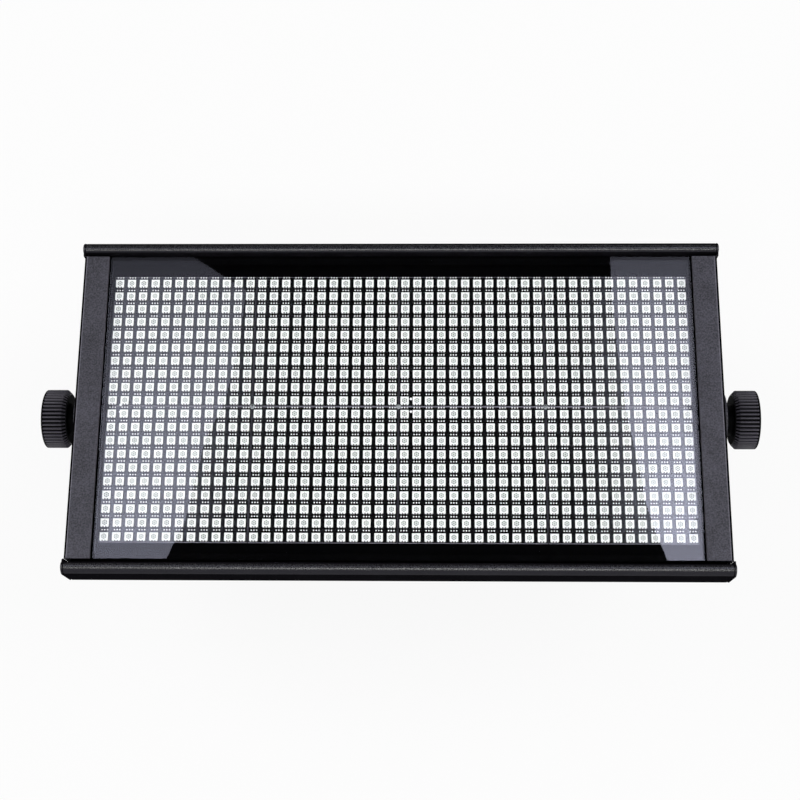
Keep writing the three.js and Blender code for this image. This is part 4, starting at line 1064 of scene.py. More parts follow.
def knob(way, side):
    profile = [(STUD, BORE_END), (STUD, KNOB_INNER), (HUB - TURN, KNOB_INNER), (HUB, KNOB_INNER + TURN),
               (HUB, CONE_START), (CONE_LOW - TURN, CONE_START), (CONE_LOW, CONE_START + TURN),
               (KNOB_BODY - 0.2 * MM, RIB_START - 0.4 * MM),
               (KNOB_BODY, RIB_START), (KNOB_BODY, KNOB_OUTER - RIM - 0.1 * MM),
               (RIB_TOP - SKIN, KNOB_OUTER - RIM), (RIB_TOP - SKIN, KNOB_OUTER - TURN),
               (RIB_TOP - SKIN - TURN, KNOB_OUTER),
               (DISH + 0.6 * MM, KNOB_OUTER), (DISH + 0.2 * MM, KNOB_OUTER - 0.15 * MM),
               (DISH - 0.1 * MM, KNOB_OUTER - 0.6 * MM), (DISH - 0.7 * MM, KNOB_OUTER - DISH_DEPTH),
               (0, KNOB_OUTER - DISH_DEPTH)]
    bm = bmesh.new()
    turned(bm, [(r, side * x) for r, x in profile], "x", (0, PIVOT), 92)
    bm.faces.new([v for v in bm.verts if abs(abs(v.co.x) - BORE_END) < 1e-6])

    # The outer face and the cone's edge keep the plain black plastic; the rest of the body keeps its
    # painted shade.
    def smooth_part(face):
        reach, along = off_axis(face).length, abs(face.center.x)
        on_face = along > KNOB_OUTER - 2 * MM and reach < KNOB_BODY - 1 * MM
        on_cone_edge = along < CONE_START + TURN and reach > HUB + 3 * MM and abs(face.normal.x) < 0.95
        return 0 if on_face or on_cone_edge else None

    body = paint(finish_mesh("knob_body", bm, groove, 35), [FINISHES["black_plastic"]], smooth_part)
    ribs = repeated("knob_ribs", CIRCLE, Count=RIBS, Radius=KNOB_BODY, Part=knob_rib(side), Seed=3,
                    Material=painted_rib_highlight)
    ribs.data.transform(Matrix.Translation((0, 0, PIVOT)) @ AXES["x"].to_4x4())
    stands_for(joined(f"{way}_knob_moulding", [body, ribs]), f"{way}_clamp_knob")


for way, side in SIDES:
    knob(way, side)
print("knobs:", RIBS, "ribs each")

# %% [markdown]
# The studs and the washers on the pivot line are turned parts. Round parts are made
# again with more steps than their solids have.


# %% Washers and studs
def barrel(inner, outer, start, end, edge):
    """The profile of a ring or a rod, with its outer edges broken."""
    return [(inner, start), (outer - edge, start), (outer, start + edge), (outer, end - edge),
            (outer - edge, end), (inner, end)]


ROD, ROD_START, ROD_END, ROD_EDGE = 4 * MM, 174.2 * MM, 199.3 * MM, 0.5 * MM
WASHER, WASHER_START, WASHER_END, WASHER_EDGE = 14 * MM, 182.8 * MM, 184.0 * MM, 0.2 * MM
ring = barrel(STUD, WASHER, WASHER_START, WASHER_END, WASHER_EDGE)
rod = barrel(0, ROD, ROD_START, ROD_END, ROD_EDGE)
PIVOT_PARTS = (("washer_ring", "friction_washer", ring + ring[:1], 64, "nylon"),
               ("stud_rod", "knob_stud", rod, 32, "steel"))
for way, side in SIDES:
    for name, node, profile, steps, finish in PIVOT_PARTS:
        placed = [(radius, side * x) for radius, x in profile]
        piece = turned_piece(f"{way}_{name}", placed, FINISHES[finish], (0, PIVOT), "x", steps)
        stands_for(piece, f"{way}_{node}")
print("pivot parts made")

# %% [markdown]
# The yoke is a strip of 3 mm sheet, bent to a U. It is modelled flat-sided first: its side view
# gives the strip, and every station along it has a half width, which turns the ends round.
# The holes in the base are cut as a drill cuts them, with a boolean.

# %% Yoke
ARM_INNER, ARM_OUTER, YOKE_HALF_Y = 184.3 * MM, 187.3 * MM, 25.0 * MM
BEND, SHEET, SHOULDER, END_RADIUS = 7.0 * MM, 3.0 * MM, 45.0 * MM, 16.0 * MM
BEND_STEPS, END_STEPS = 12, 18
MIDDLE_HOLE, OUTER_HOLE, OUTER_PLACE, OVERRUN = 6.25 * MM, 5.25 * MM, 60 * MM, 2 * MM


def yoke_half_width(z):
    """Half the strip's width at a height: straight, then a taper, then a round end."""
    if z <= SHOULDER:
        return YOKE_HALF_Y
    if z <= PIVOT:
        return YOKE_HALF_Y + (END_RADIUS - YOKE_HALF_Y) * (z - SHOULDER) / (PIVOT - SHOULDER)
    return math.sqrt(max(END_RADIUS ** 2 - (z - PIVOT) ** 2, 0))


def yoke_path():
    """Stations from the middle of the base to the tip of an arm: outer point and inner point."""
    stations = [((0, 0), (0, SHEET))]
    for i in range(BEND_STEPS + 1):
        a = -math.pi / 2 + math.pi / 2 * i / BEND_STEPS
        middle = (ARM_OUTER - BEND, BEND)
        stations.append(tuple((middle[0] + r * math.cos(a), middle[1] + r * math.sin(a))
                              for r in (BEND, BEND - SHEET)))
    heights = [SHOULDER, PIVOT]
    heights += [PIVOT + END_RADIUS * math.sin(math.pi / 2 * i / END_STEPS) for i in range(1, END_STEPS)]
    heights.append(PIVOT + END_RADIUS * 0.9995)
    return stations + [((ARM_OUTER, z), (ARM_INNER, z)) for z in heights]


def drill(radius, start, end, axis, centre):
    turned(bm, [(0, start), (radius, start), (radius, end), (0, end)], axis, centre, 40)


bm = bmesh.new()
half = yoke_path()
whole = [tuple((-x, z) for x, z in pair) for pair in reversed(half)] + half[1:]
rows = []
for outer, inner in whole:
    wide = yoke_half_width(outer[1])
    rows.append([bm.verts.new((outer[0], -wide, outer[1])), bm.verts.new((outer[0], wide, outer[1])),
                 bm.verts.new((inner[0], wide, inner[1])), bm.verts.new((inner[0], -wide, inner[1]))])
bridge(bm, *rows, ends=True)
strip = finish_mesh("yoke_strip", bm, FINISHES["black_powder_coat"], 180)
bm = bmesh.new()
for radius, x in ((MIDDLE_HOLE, 0), (OUTER_HOLE, -OUTER_PLACE), (OUTER_HOLE, OUTER_PLACE)):
    drill(radius, -OVERRUN, SHEET + OVERRUN, "z", (x, 0))
for way, side in SIDES:
    drill(STUD, side * (ARM_INNER - OVERRUN), side * (ARM_OUTER + OVERRUN), "x", (0, PIVOT))
stands_for(cut_out(strip, finish_mesh("drills", bm), 0.35 * MM, 2), "yoke")
print("yoke:", len(strip.data.polygons), "faces")

# %% [markdown]
# Behind the glass, the strips above and below the boards are the carrier plate, painted matt
# black so that it gives no stray light. The seal round the glass is black rubber.

# %% Carrier plate
# Both are so dark that the pane over them shows only its reflections.
matt_black = finish_material("matt_black_paint", "#030304", "#050506", 0.6, 0.08, 0.6, 0.01,
                             Specular_IOR_Level=0.0)
dark_rubber = finish_material("dark_rubber_seal", "#040405", "#060607", 0.8, 0.06, 0.6, 0.02,
                              Specular_IOR_Level=0.0)
for node, finish in (("carrier_plate", matt_black), ("glass_seal", dark_rubber)):
    refined(node, 0.2 * MM, 1).data.materials[0] = finish
print("carrier and seal finished")

# %% [markdown]
# ## The rear cover
#
# The cover is one folded sheet. Its side view is a centre line with two bends a side, and the
# sheet is that line with half a thickness added on each side. The line is pushed along the
# head, and a boolean then punches the vents and the openings, as a press does.

# %% Sheet of the rear cover
SHEET_HALF, COVER_END, COVER_BEND = 0.6 * MM, 180.7 * MM, 2.0 * MM
COVER_REAR, COVER_INSIDE = 76.6 * MM, 77.8 * MM
COVER_LINE = in_mm([(95.2, 127.7), (87.49, 127.7), (79.49, 77.2), (-79.49, 77.2), (-87.49, 127.7),
                    (-95.2, 127.7)])
FAN_PLACES = (-98 * MM, 98 * MM)
BACK_RISE, SOCKET_DROP = 28 * MM, 48 * MM


def bent_line(corners, radius, steps=5):
    """Points and directions along a line of straight runs, with a bend at each inner corner."""
    points = []
    spots = [Vector(p) for p in corners]
    for before, corner, after in zip(spots, spots[1:], spots[2:]):
        way_in, way_out = (corner - before).normalized(), (after - corner).normalized()
        angle = way_in.angle(way_out)
        back = radius * math.tan(angle / 2)
        for i in range(steps + 1):
            t = i / steps
            start, end = corner - way_in * back, corner + way_out * back
            place = start * (1 - t) ** 2 + corner * 2 * t * (1 - t) + end * t ** 2
            points.append((place, way_in.lerp(way_out, t).normalized()))
    first, last = (spots[1] - spots[0]).normalized(), (spots[-1] - spots[-2]).normalized()
    return [(spots[0], first), *points, (spots[-1], last)]


line = bent_line(COVER_LINE, COVER_BEND)
outside = [p + Vector((-d.y, d.x)) * SHEET_HALF for p, d in line]
inside = [p - Vector((-d.y, d.x)) * SHEET_HALF for p, d in line]
bm = bmesh.new()
prism(bm, [tuple(p) for p in outside + inside[::-1]], "x", -COVER_END, COVER_END)
cover = finish_mesh("rear_cover_sheet", bm, FINISHES["black_powder_coat"], 180)
print("cover sheet:", len(line), "stations")

# %% [markdown]
# The vents are three rows of seven slots with round ends, through both slopes. A node tree lays
# out the punches, and the other punches are prisms with the outline of what sits in them.


# %% Punches for the vents and openings
def flat_part(name, outline, start, end):
    """A plain prism for a node tree to use; it is not part of the scene."""
    bm = bmesh.new()
    prism(bm, outline, "z", start, end)
    return as_part(finish_mesh(name, bm, None, 0))


def clipped(half_x, half_y, cut, x=0.0, y=0.0):
    """A rectangle with its two upper corners cut off, as a mains connector has."""
    return [(x - half_x, y - half_y), (x + half_x, y - half_y), (x + half_x, y + half_y - cut),
            (x + half_x - cut, y + half_y), (x - half_x + cut, y + half_y), (x - half_x, y + half_y - cut)]


FUSE, MAINS_IN, MAINS_OUT = (-154 * MM, -6 * MM), -148 * MM, -98 * MM
DATA_IN, DATA_OUT, SCREW_X, SCREW_Y = 104 * MM, 146 * MM, 170.7 * MM, 71 * MM
VENT_COLUMNS, VENT_ROWS, VENT_PITCH_X, VENT_PITCH_Y = 7, 3, 44 * MM, 8 * MM
VENT_HALF_X, VENT_HALF_Y, VENT_ROUND, VENT_LEVEL, PUNCH_REACH = in_mm([(16, 1.6, 1.59, 102.45, 92)])[0]
punch = flat_part("vent_punch", rounded(VENT_HALF_X, VENT_HALF_Y, VENT_ROUND), -PUNCH_REACH, PUNCH_REACH)
punches = repeated("vent_punches", GRID, Columns=VENT_COLUMNS, Rows=VENT_ROWS, Pitch_X=VENT_PITCH_X,
                   Pitch_Y=VENT_PITCH_Y, Centre=(0, 0, 0), Part=punch, Seed=1,
                   Material=FINISHES["black_powder_coat"])
punches.data.transform(Matrix.Translation((0, 0, VENT_LEVEL)) @ Matrix.Rotation(math.pi / 2, 4, "X"))
bm = bmesh.new()
bm.from_mesh(punches.data)
bpy.data.objects.remove(punches)
FAN_OPENING, DATA_OPENING, FUSE_OPENING, SCREW_OPENING = in_mm([(38, 11.3, 7.8, 2.3)])[0]
MAINS_OPENING, PANEL_OPENING = in_mm([(14.55, 10.8, 0.5), (38, 23, 1)])
openings = [circle(FAN_OPENING, 72, x, BACK_RISE) for x in FAN_PLACES]
openings += [circle(DATA_OPENING, 40, x, -SOCKET_DROP) for x in (DATA_IN, DATA_OUT)]
openings += [rounded(*MAINS_OPENING, x, -SOCKET_DROP) for x in (MAINS_IN, MAINS_OUT)]
openings += [rounded(*PANEL_OPENING, 0, BACK_RISE), circle(FUSE_OPENING, 32, *FUSE)]
openings += [circle(SCREW_OPENING, 16, a * SCREW_X, b * SCREW_Y) for a in (-1, 1) for b in (-1, 1)]
for outline in openings:
    prism(bm, outline, "z", COVER_REAR - 3 * MM, COVER_INSIDE + 1.5 * MM)
for face in bm.faces:
    face.material_index = 0
stands_for(cut_out(cover, finish_mesh("cover_punches", bm, None, 0), 0.15 * MM), "rear_cover")
punches = len(openings) + VENT_COLUMNS * VENT_ROWS
print("cover:", len(cover.data.polygons), "faces after", punches, "punches")

# %% [markdown]
# The cover screws are pan heads with a straight slot. One screw is turned and slotted, and the
# grid tree sets it at the four corners.


# %% Cover screws
def pan_screw(name, radius, height, shank, length, slot, depth, material):
    """A slotted pan-head screw; its head points down, and its seat is at zero."""
    dome = [(0, -height), (radius * 0.45, -height * 0.97), (radius * 0.78, -height * 0.82),
            (radius * 0.95, -height * 0.55), (radius, -height * 0.25), (radius, 0), (shank, 0),
            (shank, length - 0.3 * MM), (shank - 0.3 * MM, length), (0, length)]
    screw = turned_piece(name, dome, material, steps=28, angle=40)
    bm = bmesh.new()
    box(bm, (-radius * 1.2, -slot / 2, -height * 1.2), (radius * 1.2, slot / 2, depth - height))
    return as_part(cut_out(screw, finish_mesh("slot", bm, None, 0)))


SCREW_SEAT = 76.3 * MM
cover_screw = pan_screw("cover_screw", 3.6 * MM, 2.2 * MM, 2.0 * MM, 7 * MM, 1.0 * MM, 1.1 * MM,
                        FINISHES["steel"])
screws = repeated("cover_screws", GRID, Columns=2, Rows=2, Pitch_X=2 * SCREW_X, Pitch_Y=2 * SCREW_Y,
                  Centre=(0, 0, SCREW_SEAT), Part=cover_screw, Seed=2, Material=FINISHES["steel"])
SCREW_NODES = [f"cover_screw_{k}" for k in range(1, 5)]
stands_for(screws, *SCREW_NODES)
print("screws:", len(SCREW_NODES))

# %% [markdown]
# The safety eye is a foot plate with an upright loop of flat bar, whose edges are well rounded,
# because a cable runs through it.

# %% Safety eye
EYE_PLACE, EYE_MIDDLE, EYE_HOLE, EYE_LOOP = 69 * MM, 66.3 * MM, 6 * MM, 10 * MM
EYE_HALF, FOOT_LEVEL, FOOT_SHEET = 2 * MM, 76.3 * MM, 2 * MM
arc = [(EYE_MIDDLE - EYE_LOOP * math.sin(a), EYE_LOOP * math.cos(a))
       for a in [math.pi * i / 24 for i in range(25)]]
outline = [(FOOT_LEVEL, EYE_LOOP), *arc, (FOOT_LEVEL, -EYE_LOOP)]
loop = plate("eye_loop", outline, [circle(EYE_HOLE, 40, EYE_MIDDLE, 0)], "y", EYE_PLACE - EYE_HALF,
             EYE_PLACE + EYE_HALF, FINISHES["steel"], 0.9 * MM)
foot = plate("eye_foot", rounded(15 * MM, 5.5 * MM, 1.5 * MM, 0, EYE_PLACE), [], "z",
             FOOT_LEVEL - FOOT_SHEET, FOOT_LEVEL, FINISHES["steel"], 0.4 * MM)
stands_for(joined("safety_eye_bracket", [loop, foot]), "safety_eye")
print("safety eye made")

# %% [markdown]
# ## The fans
#
# Each fan is a moulded frame with two square flanges on a round duct, a hub on four struts, a
# rotor with seven twisted blades, and a wire guard on the back. The circle tree repeats
# blades, spokes and lugs, so that each is modelled once.

# %% Fan frames
FAN_HALF, BORE, DUCT_WALL, FLANGE = 40 * MM, 38 * MM, 2 * MM, 3.5 * MM
FAN_REAR, FAN_FRONT, FAN_HUB, STRUT_DEPTH, STRUT_HALF = 78.1 * MM, 103.1 * MM, 17 * MM, 2.4 * MM, 1.5 * MM
FAN_SCREW, FAN_CORNER, LUG, SHAFT, SHAFT_BORE = 2.2 * MM, 4 * MM, 35.75 * MM, 1.6 * MM, 1.9 * MM
FACING_SIDES = (("left", FAN_PLACES[0]), ("right", FAN_PLACES[1]))


def fan_frame(way, x):
    centre = (x, BACK_RISE)
    corners = [circle(FAN_SCREW, 16, x + a * LUG, BACK_RISE + b * LUG) for a in (-1, 1) for b in (-1, 1)]
    outline = rounded(FAN_HALF, FAN_HALF, FAN_CORNER, *centre)
    parts = [plate("flange", outline, [circle(BORE, 96, *centre), *corners], "z", start, start + FLANGE,
                   plastic, 0.3 * MM) for start in (FAN_REAR, FAN_FRONT - FLANGE)]
    low, high = FAN_REAR + FLANGE * 0.8, FAN_FRONT - FLANGE * 0.8
    duct = [(BORE, low), (BORE, high), (BORE + DUCT_WALL, high), (BORE + DUCT_WALL, low), (BORE, low)]
    parts.append(turned_piece("duct", duct, plastic, centre, steps=96))
    bm = bmesh.new()
    low = FAN_FRONT - STRUT_DEPTH
    hub = barrel(SHAFT_BORE, FAN_HUB, low, FAN_FRONT, 0.5 * MM)
    turned(bm, hub + hub[:1], "z", centre, 48)
    near, far = FAN_HUB - 1 * MM, BORE + 1 * MM
    for way_out in ((1, 0), (-1, 0), (0, 1), (0, -1)):
        spans = [(middle + min(a * near, a * far) - (not a) * STRUT_HALF,
                  middle + max(a * near, a * far) + (not a) * STRUT_HALF)
                 for middle, a in zip(centre, way_out)]
        box(bm, (spans[0][0], spans[1][0], low), (spans[0][1], spans[1][1], FAN_FRONT))
    parts.append(finish_mesh("hub", bm, plastic, 35))
    stands_for(joined(f"{way}_fan_moulding", parts), f"{way}_fan_frame")


plastic = FINISHES["black_plastic"]
for way, x in FACING_SIDES:
    fan_frame(way, x)
print("fan frames made")

# %% [markdown]
# A blade is a thin sheet with a curved section. It is steep at the hub and flatter at the tip,
# because the tip moves faster through the air.

# %% Fan rotors
ROTOR_REAR, ROTOR_LENGTH, ROTOR_HUB, BLADE_TIP = 79.5 * MM, 19.8 * MM, 18 * MM, 36.4 * MM
BLADES, BLADE_CHORD, BLADE_THICK, BLADE_CAMBER, BLADE_ROOT = 7, 17 * MM, 1.5 * MM, 1.6 * MM, 0.6 * MM
PITCH_ROOT, PITCH_FALL, ROOT_CHORD_SHARE, BLADE_STATIONS, BLADE_STEPS = 44, 14, 0.86, 8, 10


def fan_blade():
    """One blade. X runs outwards from the hub's skin, and Z is the axis of the fan."""
    bm = bmesh.new()
    rows = []
    for i in range(BLADE_STATIONS + 1):
        t = i / BLADE_STATIONS
        reach = ROTOR_HUB - BLADE_ROOT + (BLADE_TIP - ROTOR_HUB + BLADE_ROOT) * t
        pitch = math.radians(PITCH_ROOT - PITCH_FALL * t)
        chord = BLADE_CHORD * (ROOT_CHORD_SHARE + (1 - ROOT_CHORD_SHARE) * t)
        upper, lower = [], []
        for k in range(BLADE_STEPS + 1):
            s = k / BLADE_STEPS - 0.5
            arch = BLADE_CAMBER * (1 - 4 * s * s)
            skin = BLADE_THICK / 2 * math.sqrt(max(1 - (2 * s) ** 4, 0.06))
            for side, rail in ((1, upper), (-1, lower)):
                u, v = s * chord, arch + side * skin
                across = u * math.cos(pitch) - v * math.sin(pitch)
                along = u * math.sin(pitch) + v * math.cos(pitch)
                angle = across / reach
                rail.append((reach * math.cos(angle) - ROTOR_HUB, reach * math.sin(angle), along))
        rows.append([bm.verts.new(p) for p in upper + lower[::-1]])
    bridge(bm, *rows, ends=True)
    return as_part(finish_mesh("fan_blade", bm, None, 50))


blade = fan_blade()
low, high, hub = ROTOR_REAR, ROTOR_REAR + ROTOR_LENGTH, ROTOR_HUB
shaft_end = FAN_FRONT - 0.2 * MM
cap = [(0, low + 0.5 * MM), (hub - 4 * MM, low + 0.5 * MM), (hub - 3.6 * MM, low), (hub - 1.6 * MM, low),
       (hub - 0.5 * MM, low + 0.5 * MM), (hub, low + 1.6 * MM), (hub, high - 0.3 * MM),
       (hub - 0.3 * MM, high), (SHAFT, high), (SHAFT, shaft_end), (0, shaft_end)]
for way, x in FACING_SIDES:
    core = turned_piece("rotor_hub", cap, plastic, (x, BACK_RISE), steps=56, angle=40)
    blades = repeated("rotor_blades", CIRCLE, Count=BLADES, Radius=ROTOR_HUB, Part=blade, Seed=5,
                      Material=plastic)
    blades.data.transform(Matrix.Translation((x, BACK_RISE, (low + high) / 2)))
    stands_for(joined(f"{way}_rotor_moulding", [core, blades]), f"{way}_fan_rotor")
print("rotors:", BLADES, "blades each")

# %% [markdown]
# A guard is three rings of chromed wire on four spokes. Each spoke ends in a flattened lug, and
# a screw through the lug holds the guard and the fan.

# %% Fan guards
WIRE_LEVEL, RING_WIRE, SPOKE_WIRE, WIRE_SIDES, GUARD_RINGS = 75.3 * MM, 0.9 * MM, 0.8 * MM, 10, 3
LUG_HALF, LUG_BORE, LUG_RADIUS, LUG_EDGE = in_mm([(0.8, 2.4, 4.2, 0.3)])[0]
LUG_REACH, LUG_TURN = LUG * math.sqrt(2), Matrix.Rotation(math.pi / 4, 4, "Z")


def spoke():
    """One spoke with its lug, from the middle outwards, at the place of the lug."""
    bm = bmesh.new()
    prism(bm, circle(SPOKE_WIRE, WIRE_SIDES), "x", -LUG_REACH + 1 * MM, -1.5 * MM)
    lug = barrel(LUG_BORE, LUG_RADIUS, -LUG_HALF, LUG_HALF, LUG_EDGE)
    turned(bm, lug + lug[:1], "z", steps=28)
    return as_part(finish_mesh("guard_spoke", bm, None, 40))


guard_spoke = spoke()
guard_screw = pan_screw("guard_screw", 3.0 * MM, 1.2 * MM, 1.6 * MM, 1.6 * MM, 0.8 * MM, 0.6 * MM,
                        FINISHES["steel"])
for way, x in FACING_SIDES:
    bm = bmesh.new()
    for k in range(1, GUARD_RINGS + 1):
        section = [(BORE * k / GUARD_RINGS + a, WIRE_LEVEL + b) for a, b in circle(RING_WIRE, WIRE_SIDES)]
        turned(bm, section + section[:1], "z", (x, BACK_RISE), 72)
    parts = [finish_mesh("guard_rings", bm, FINISHES["steel"], 60)]
    for part, level in ((guard_spoke, WIRE_LEVEL), (guard_screw, WIRE_LEVEL - 0.6 * MM)):
        ring = repeated("guard_part", CIRCLE, Count=4, Radius=LUG_REACH, Part=part, Seed=9,
                        Material=FINISHES["steel"])
        ring.data.transform(Matrix.Translation((x, BACK_RISE, level)) @ LUG_TURN)
        parts.append(ring)
    stands_for(joined(f"{way}_guard_wires", parts), f"{way}_fan_guard")
print("guards made")

# %% [markdown]
# ## The control panel
#
# The panel is a black plate with a window for the display and four round buttons. A flat plate
# with holes is a filled curve, given a thickness and a small round edge.

# %% Panel, display and buttons
PANEL_REAR, PANEL_FRONT, DISPLAY_FRONT = 74.8 * MM, 76.3 * MM, 76.8 * MM
PANEL_X, PANEL_Y, PANEL_CORNER, WINDOW_X, WINDOW_Y, WINDOW_GAP = in_mm([(42, 27, 4, 23, 9, 0.3)])[0]
WINDOW_PLACE, BUTTON_PLACE, BUTTON_HOLE = BACK_RISE + 11 * MM, BACK_RISE - 14 * MM, 4.3 * MM
BUTTONS = [((k - 1.5) * 17 * MM, f"control_button_{k + 1}") for k in range(4)]
BUTTON_SHAPE = in_mm([(0, 73.0), (1.8, 72.9), (3.0, 72.62), (3.5, 72.6), (3.85, 72.75), (4.0, 73.1),
                      (4.0, 78.6), (5.0, 78.6), (5.0, 79.6), (0, 79.6)])
outer = rounded(PANEL_X, PANEL_Y, PANEL_CORNER, 0, BACK_RISE, 10)
holes = [rounded(WINDOW_X + WINDOW_GAP, WINDOW_Y + WINDOW_GAP, 0.6 * MM, 0, WINDOW_PLACE)]
holes += [circle(BUTTON_HOLE, 32, x, BUTTON_PLACE) for x, _ in BUTTONS]
panel = plate("control_panel_plate", outer, holes, "z", PANEL_REAR, PANEL_FRONT, FINISHES["panel_lacquer"],
              0.3 * MM)
stands_for(panel, "control_panel")
pane = plate("display_pane", rounded(WINDOW_X, WINDOW_Y, 0.5 * MM, 0, WINDOW_PLACE), [], "z",
             PANEL_REAR, DISPLAY_FRONT, FINISHES["display"], 0.25 * MM)
stands_for(pane, "display_window")
for x, node in BUTTONS:
    stands_for(turned_piece(f"{node}_cap", BUTTON_SHAPE, FINISHES["grey_plastic"], (x, BUTTON_PLACE),
                            steps=40, angle=40), node)
print("panel with", len(BUTTONS), "buttons")

# %% [markdown]
# ## Sockets
#
# The two data sockets share a flange, a barrel and two countersunk screws. The inlet has three
# pins in an open cup, and the outlet has an insert with three holes.

# %% Data sockets
FLANGE_REAR, FLANGE_FACE, CUP, BARREL = 74.3 * MM, 76.3 * MM, 9.4 * MM, 11 * MM
CUP_FLOOR, BARREL_END, LATCH_SEAT, SLOT_HALF = 89.3 * MM, 96.3 * MM, 7.7 * MM, 3.85 * MM
PIN_CIRCLE, PIN_TURNS = 4.4 * MM, [math.radians(a) for a in (-45, 45, 135)]
PIN_SPOTS = [(PIN_CIRCLE * math.cos(a), PIN_CIRCLE * math.sin(a)) for a in PIN_TURNS]
PIN_TIP = in_mm([(0, 75.5), (0.7, 75.65), (1.2, 76.4)])
LATCH_LOW, LATCH_HIGH = in_mm([(-3.5, -42.0, 72.5), (3.5, -38.6, 81.5)])
SCREW_HEAD = in_mm([(0, -0.25), (1.5, -0.2), (2.1, 0), (2.1, 0.4)])
SCREW_FACE = [(radius, FLANGE_REAR + level) for radius, level in SCREW_HEAD]


def sunk_screws(x, half_x, half_y):
    """Two small countersunk screws on one diagonal of a flange, nearly flush with it."""
    bm = bmesh.new()
    for way in (-1, 1):
        turned(bm, SCREW_FACE, "z", (x + way * half_x, way * half_y - SOCKET_DROP), 20)
    return finish_mesh("flange_screws", bm, FINISHES["steel"], 40)


def data_shell(x):
    """Flange and barrel of a data socket, with its screws."""
    middle = (x, -SOCKET_DROP)
    flange = plate("flange", rounded(13 * MM, 15.5 * MM, 2 * MM, *middle), [circle(CUP, 48, *middle)], "z",
                   FLANGE_REAR, FLANGE_FACE, plastic, 0.3 * MM)
    start = FLANGE_FACE - 0.5 * MM
    wall = [(CUP, start), (CUP, CUP_FLOOR), (0, CUP_FLOOR), (0, BARREL_END), (BARREL, BARREL_END),
            (BARREL, start), (CUP, start)]
    return [flange, turned_piece("barrel", wall, plastic, middle), sunk_screws(x, 9.6 * MM, 12.1 * MM)]


parts = data_shell(DATA_IN)
bm = bmesh.new()
for a, b in PIN_SPOTS:
    pin = [*PIN_TIP, (PIN_TIP[-1][0], CUP_FLOOR + 0.2 * MM)]
    turned(bm, pin, "z", (DATA_IN + a, b - SOCKET_DROP), 16)
box(bm, (DATA_IN - 1.1 * MM, CUP - 1.3 * MM - SOCKET_DROP, 77 * MM),
    (DATA_IN + 1.1 * MM, CUP + 0.1 * MM - SOCKET_DROP, CUP_FLOOR + 0.2 * MM))
parts.append(finish_mesh("pins", bm, FINISHES["steel"], 40))
stands_for(joined("data_inlet_socket", parts), "data_inlet")

parts = data_shell(DATA_OUT)
core = circle(CUP - 1 * MM, 64, start=math.radians(117.5), sweep=math.radians(305))
core = [(DATA_OUT + a, b - SOCKET_DROP) for a, b in core]
core += [(DATA_OUT + a, LATCH_SEAT - 2.1 * MM - SOCKET_DROP) for a in (SLOT_HALF, -SLOT_HALF)]
pin_holes = [circle(1.5 * MM, 16, DATA_OUT + a, b - SOCKET_DROP) for a, b in PIN_SPOTS]
parts.append(plate("insert", core, pin_holes, "z", FLANGE_REAR + 0.1 * MM, CUP_FLOOR + 0.1 * MM, plastic,
                   0.25 * MM))
stands_for(joined("data_outlet_socket", parts), "data_outlet")
bm = bmesh.new()
box(bm, (DATA_OUT + LATCH_LOW[0], *LATCH_LOW[1:]), (DATA_OUT + LATCH_HIGH[0], *LATCH_HIGH[1:]))
latch = finish_mesh("data_latch_tab", bm, FINISHES["steel"], 180)
stands_for(plain_mesh(bevelled(latch, 0.6 * MM, 3)), "data_outlet_latch")
print("data sockets made")

# %% [markdown]
# The mains sockets are moulded too: a flange, a cavity with two cut corners, and either three
# blades in it or a block with three slots.

# %% Mains sockets
CAVITY_X, CAVITY_Y, CORNER_CUT, MAINS_FLOOR, MAINS_END = in_mm([(12.25, 8.5, 4, 91.3, 98.3)])[0]
WALL_X, WALL_Y, WALL_CORNER, BLADE_X, BLADE_Y, BLADE_START = in_mm([(14.2, 10.45, 0.8, 1, 2, 78.3)])[0]
BLADE_SPOTS = in_mm([(-7, -2), (7, -2), (0, 2)])


def mains_shell(x):
    y = -SOCKET_DROP
    hole = clipped(CAVITY_X, CAVITY_Y, CORNER_CUT, x, y)
    rim, wall = rounded(22 * MM, 13 * MM, 4 * MM, x, y), rounded(WALL_X, WALL_Y, WALL_CORNER, x, y)
    return [plate("flange", rim, [hole], "z", FLANGE_REAR, FLANGE_FACE, plastic, 0.35 * MM),
            plate("wall", wall, [hole], "z", FLANGE_FACE - 0.4 * MM, MAINS_FLOOR, plastic, 0.15 * MM),
            plate("floor", wall, [], "z", MAINS_FLOOR - 0.1 * MM, MAINS_END, plastic, 0.3 * MM),
            sunk_screws(x, 18 * MM, 0)]


parts = mains_shell(MAINS_IN)
bm = bmesh.new()
for a, b in BLADE_SPOTS:
    x, y = MAINS_IN + a, b - SOCKET_DROP
    box(bm, (x - BLADE_X, y - BLADE_Y, BLADE_START), (x + BLADE_X, y + BLADE_Y, MAINS_FLOOR))
blades = finish_mesh("blades", bm, FINISHES["steel"], 180)
parts.append(plain_mesh(bevelled(blades, 0.5 * MM, 2)))
stands_for(joined("mains_inlet_socket", parts), "mains_inlet")
parts = mains_shell(MAINS_OUT)
slots = [rounded(1.3 * MM, 2.3 * MM, 0.3 * MM, MAINS_OUT + a, b - SOCKET_DROP, 3) for a, b in BLADE_SPOTS]
core = clipped(CAVITY_X - 1.9 * MM, CAVITY_Y - 1.9 * MM, CORNER_CUT, MAINS_OUT, -SOCKET_DROP)
parts.append(plate("block", core, slots, "z", FLANGE_REAR + 0.05 * MM, MAINS_FLOOR, plastic, 0.3 * MM))
stands_for(joined("mains_outlet_socket", parts), "mains_outlet")
print("mains sockets made")

# %% [markdown]
# The fuse holder is a turned sleeve with a flange. Its cap has a coin slot and a rim of small
# grips, set round it by the circle tree.

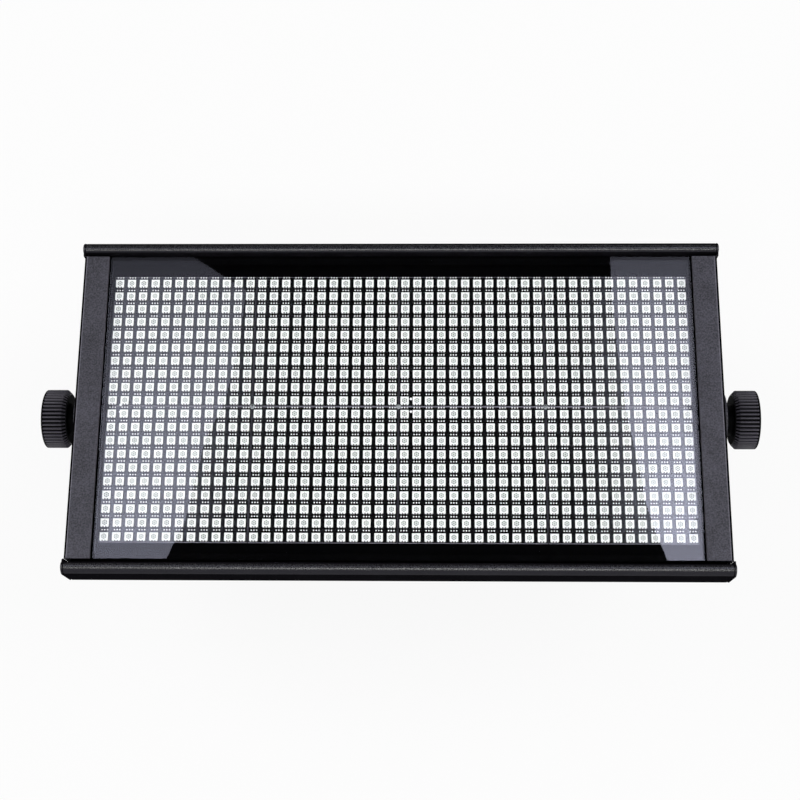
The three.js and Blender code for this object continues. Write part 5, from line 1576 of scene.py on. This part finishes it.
# %% Fuse holder and cap
SLEEVE = in_mm([(6.3, 74.5), (6.6, 74.3), (8.6, 74.3), (9, 74.7), (9, 76.3), (7.5, 76.3), (7.5, 100),
                (7.2, 100.3), (0, 100.3), (0, 86.6), (6.3, 86.6), (6.3, 74.5)])
CAP = in_mm([(0, 69.3), (4.9, 69.3), (5.5, 69.6), (5.65, 70.2), (5.65, 86), (5.3, 86.3), (0, 86.3)])
SLOT_LONG, SLOT_WIDE, SLOT_START, SLOT_FLOOR = in_mm([(7, 0.7, 68, 70.9)])[0]
GRIP = in_mm([(-0.3, -0.3), (0.25, -0.2), (0.35, 0), (0.25, 0.2), (-0.3, 0.3)])
GRIPS, GRIP_CIRCLE, GRIP_START, GRIP_END = 24, 5.62 * MM, 70.3 * MM, 73.6 * MM
stands_for(turned_piece("fuse_sleeve", SLEEVE, plastic, FUSE), "fuse_holder")
cap = turned_piece("fuse_cap_body", CAP, plastic, FUSE)
bm = bmesh.new()
box(bm, (FUSE[0] - SLOT_LONG, FUSE[1] - SLOT_WIDE, SLOT_START),
    (FUSE[0] + SLOT_LONG, FUSE[1] + SLOT_WIDE, SLOT_FLOOR))
cut_out(cap, finish_mesh("coin_slot", bm, None, 0))
grip = flat_part("grip", GRIP, GRIP_START, GRIP_END)
grips = repeated("fuse_grips", CIRCLE, Count=GRIPS, Radius=GRIP_CIRCLE, Part=grip, Seed=4, Material=plastic)
grips.data.transform(Matrix.Translation((*FUSE, 0)))
stands_for(joined("fuse_cap_moulding", [cap, grips]), "fuse_cap")
print("fuse holder made")

# %% [markdown]
# Inside, the boards keep their shape, and only the parts on them get their own finishes: dark
# sleeves on capacitors and copper on coils.

# %% Boards inside
copper = finish_material("enamelled_copper_wire", "#b3673a", "#9a5330", 0.35, 0.08, 0.6, 0.05,
                         Metallic=1.0)
BOARD_FEET, BOARD_SHEET, COIL_EDGE = 6 * MM, 1.6 * MM, BACK_RISE + 1 * MM
board_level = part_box("driver_board")[1][2] - BOARD_FEET - BOARD_SHEET


def part_finish(face):
    if face.center.z < board_level - 0.3 * MM:
        return 0 if face.center.y > COIL_EDGE else 1


driver = paint(refined("driver_board", 0.2 * MM, 1), (plastic, copper), part_finish)
print("driver board:", len(driver.data.polygons), "faces")

# %% [markdown]
# What is left keeps its shape. Each piece only gets its edges broken and the finish of its slot.

# %% Everything else
kept_nodes = [node for node in sorted(frame["nodes"]) if node not in DONE]
for node in kept_nodes:
    refined(node)
print("kept their shape:", len(kept_nodes), "pieces")
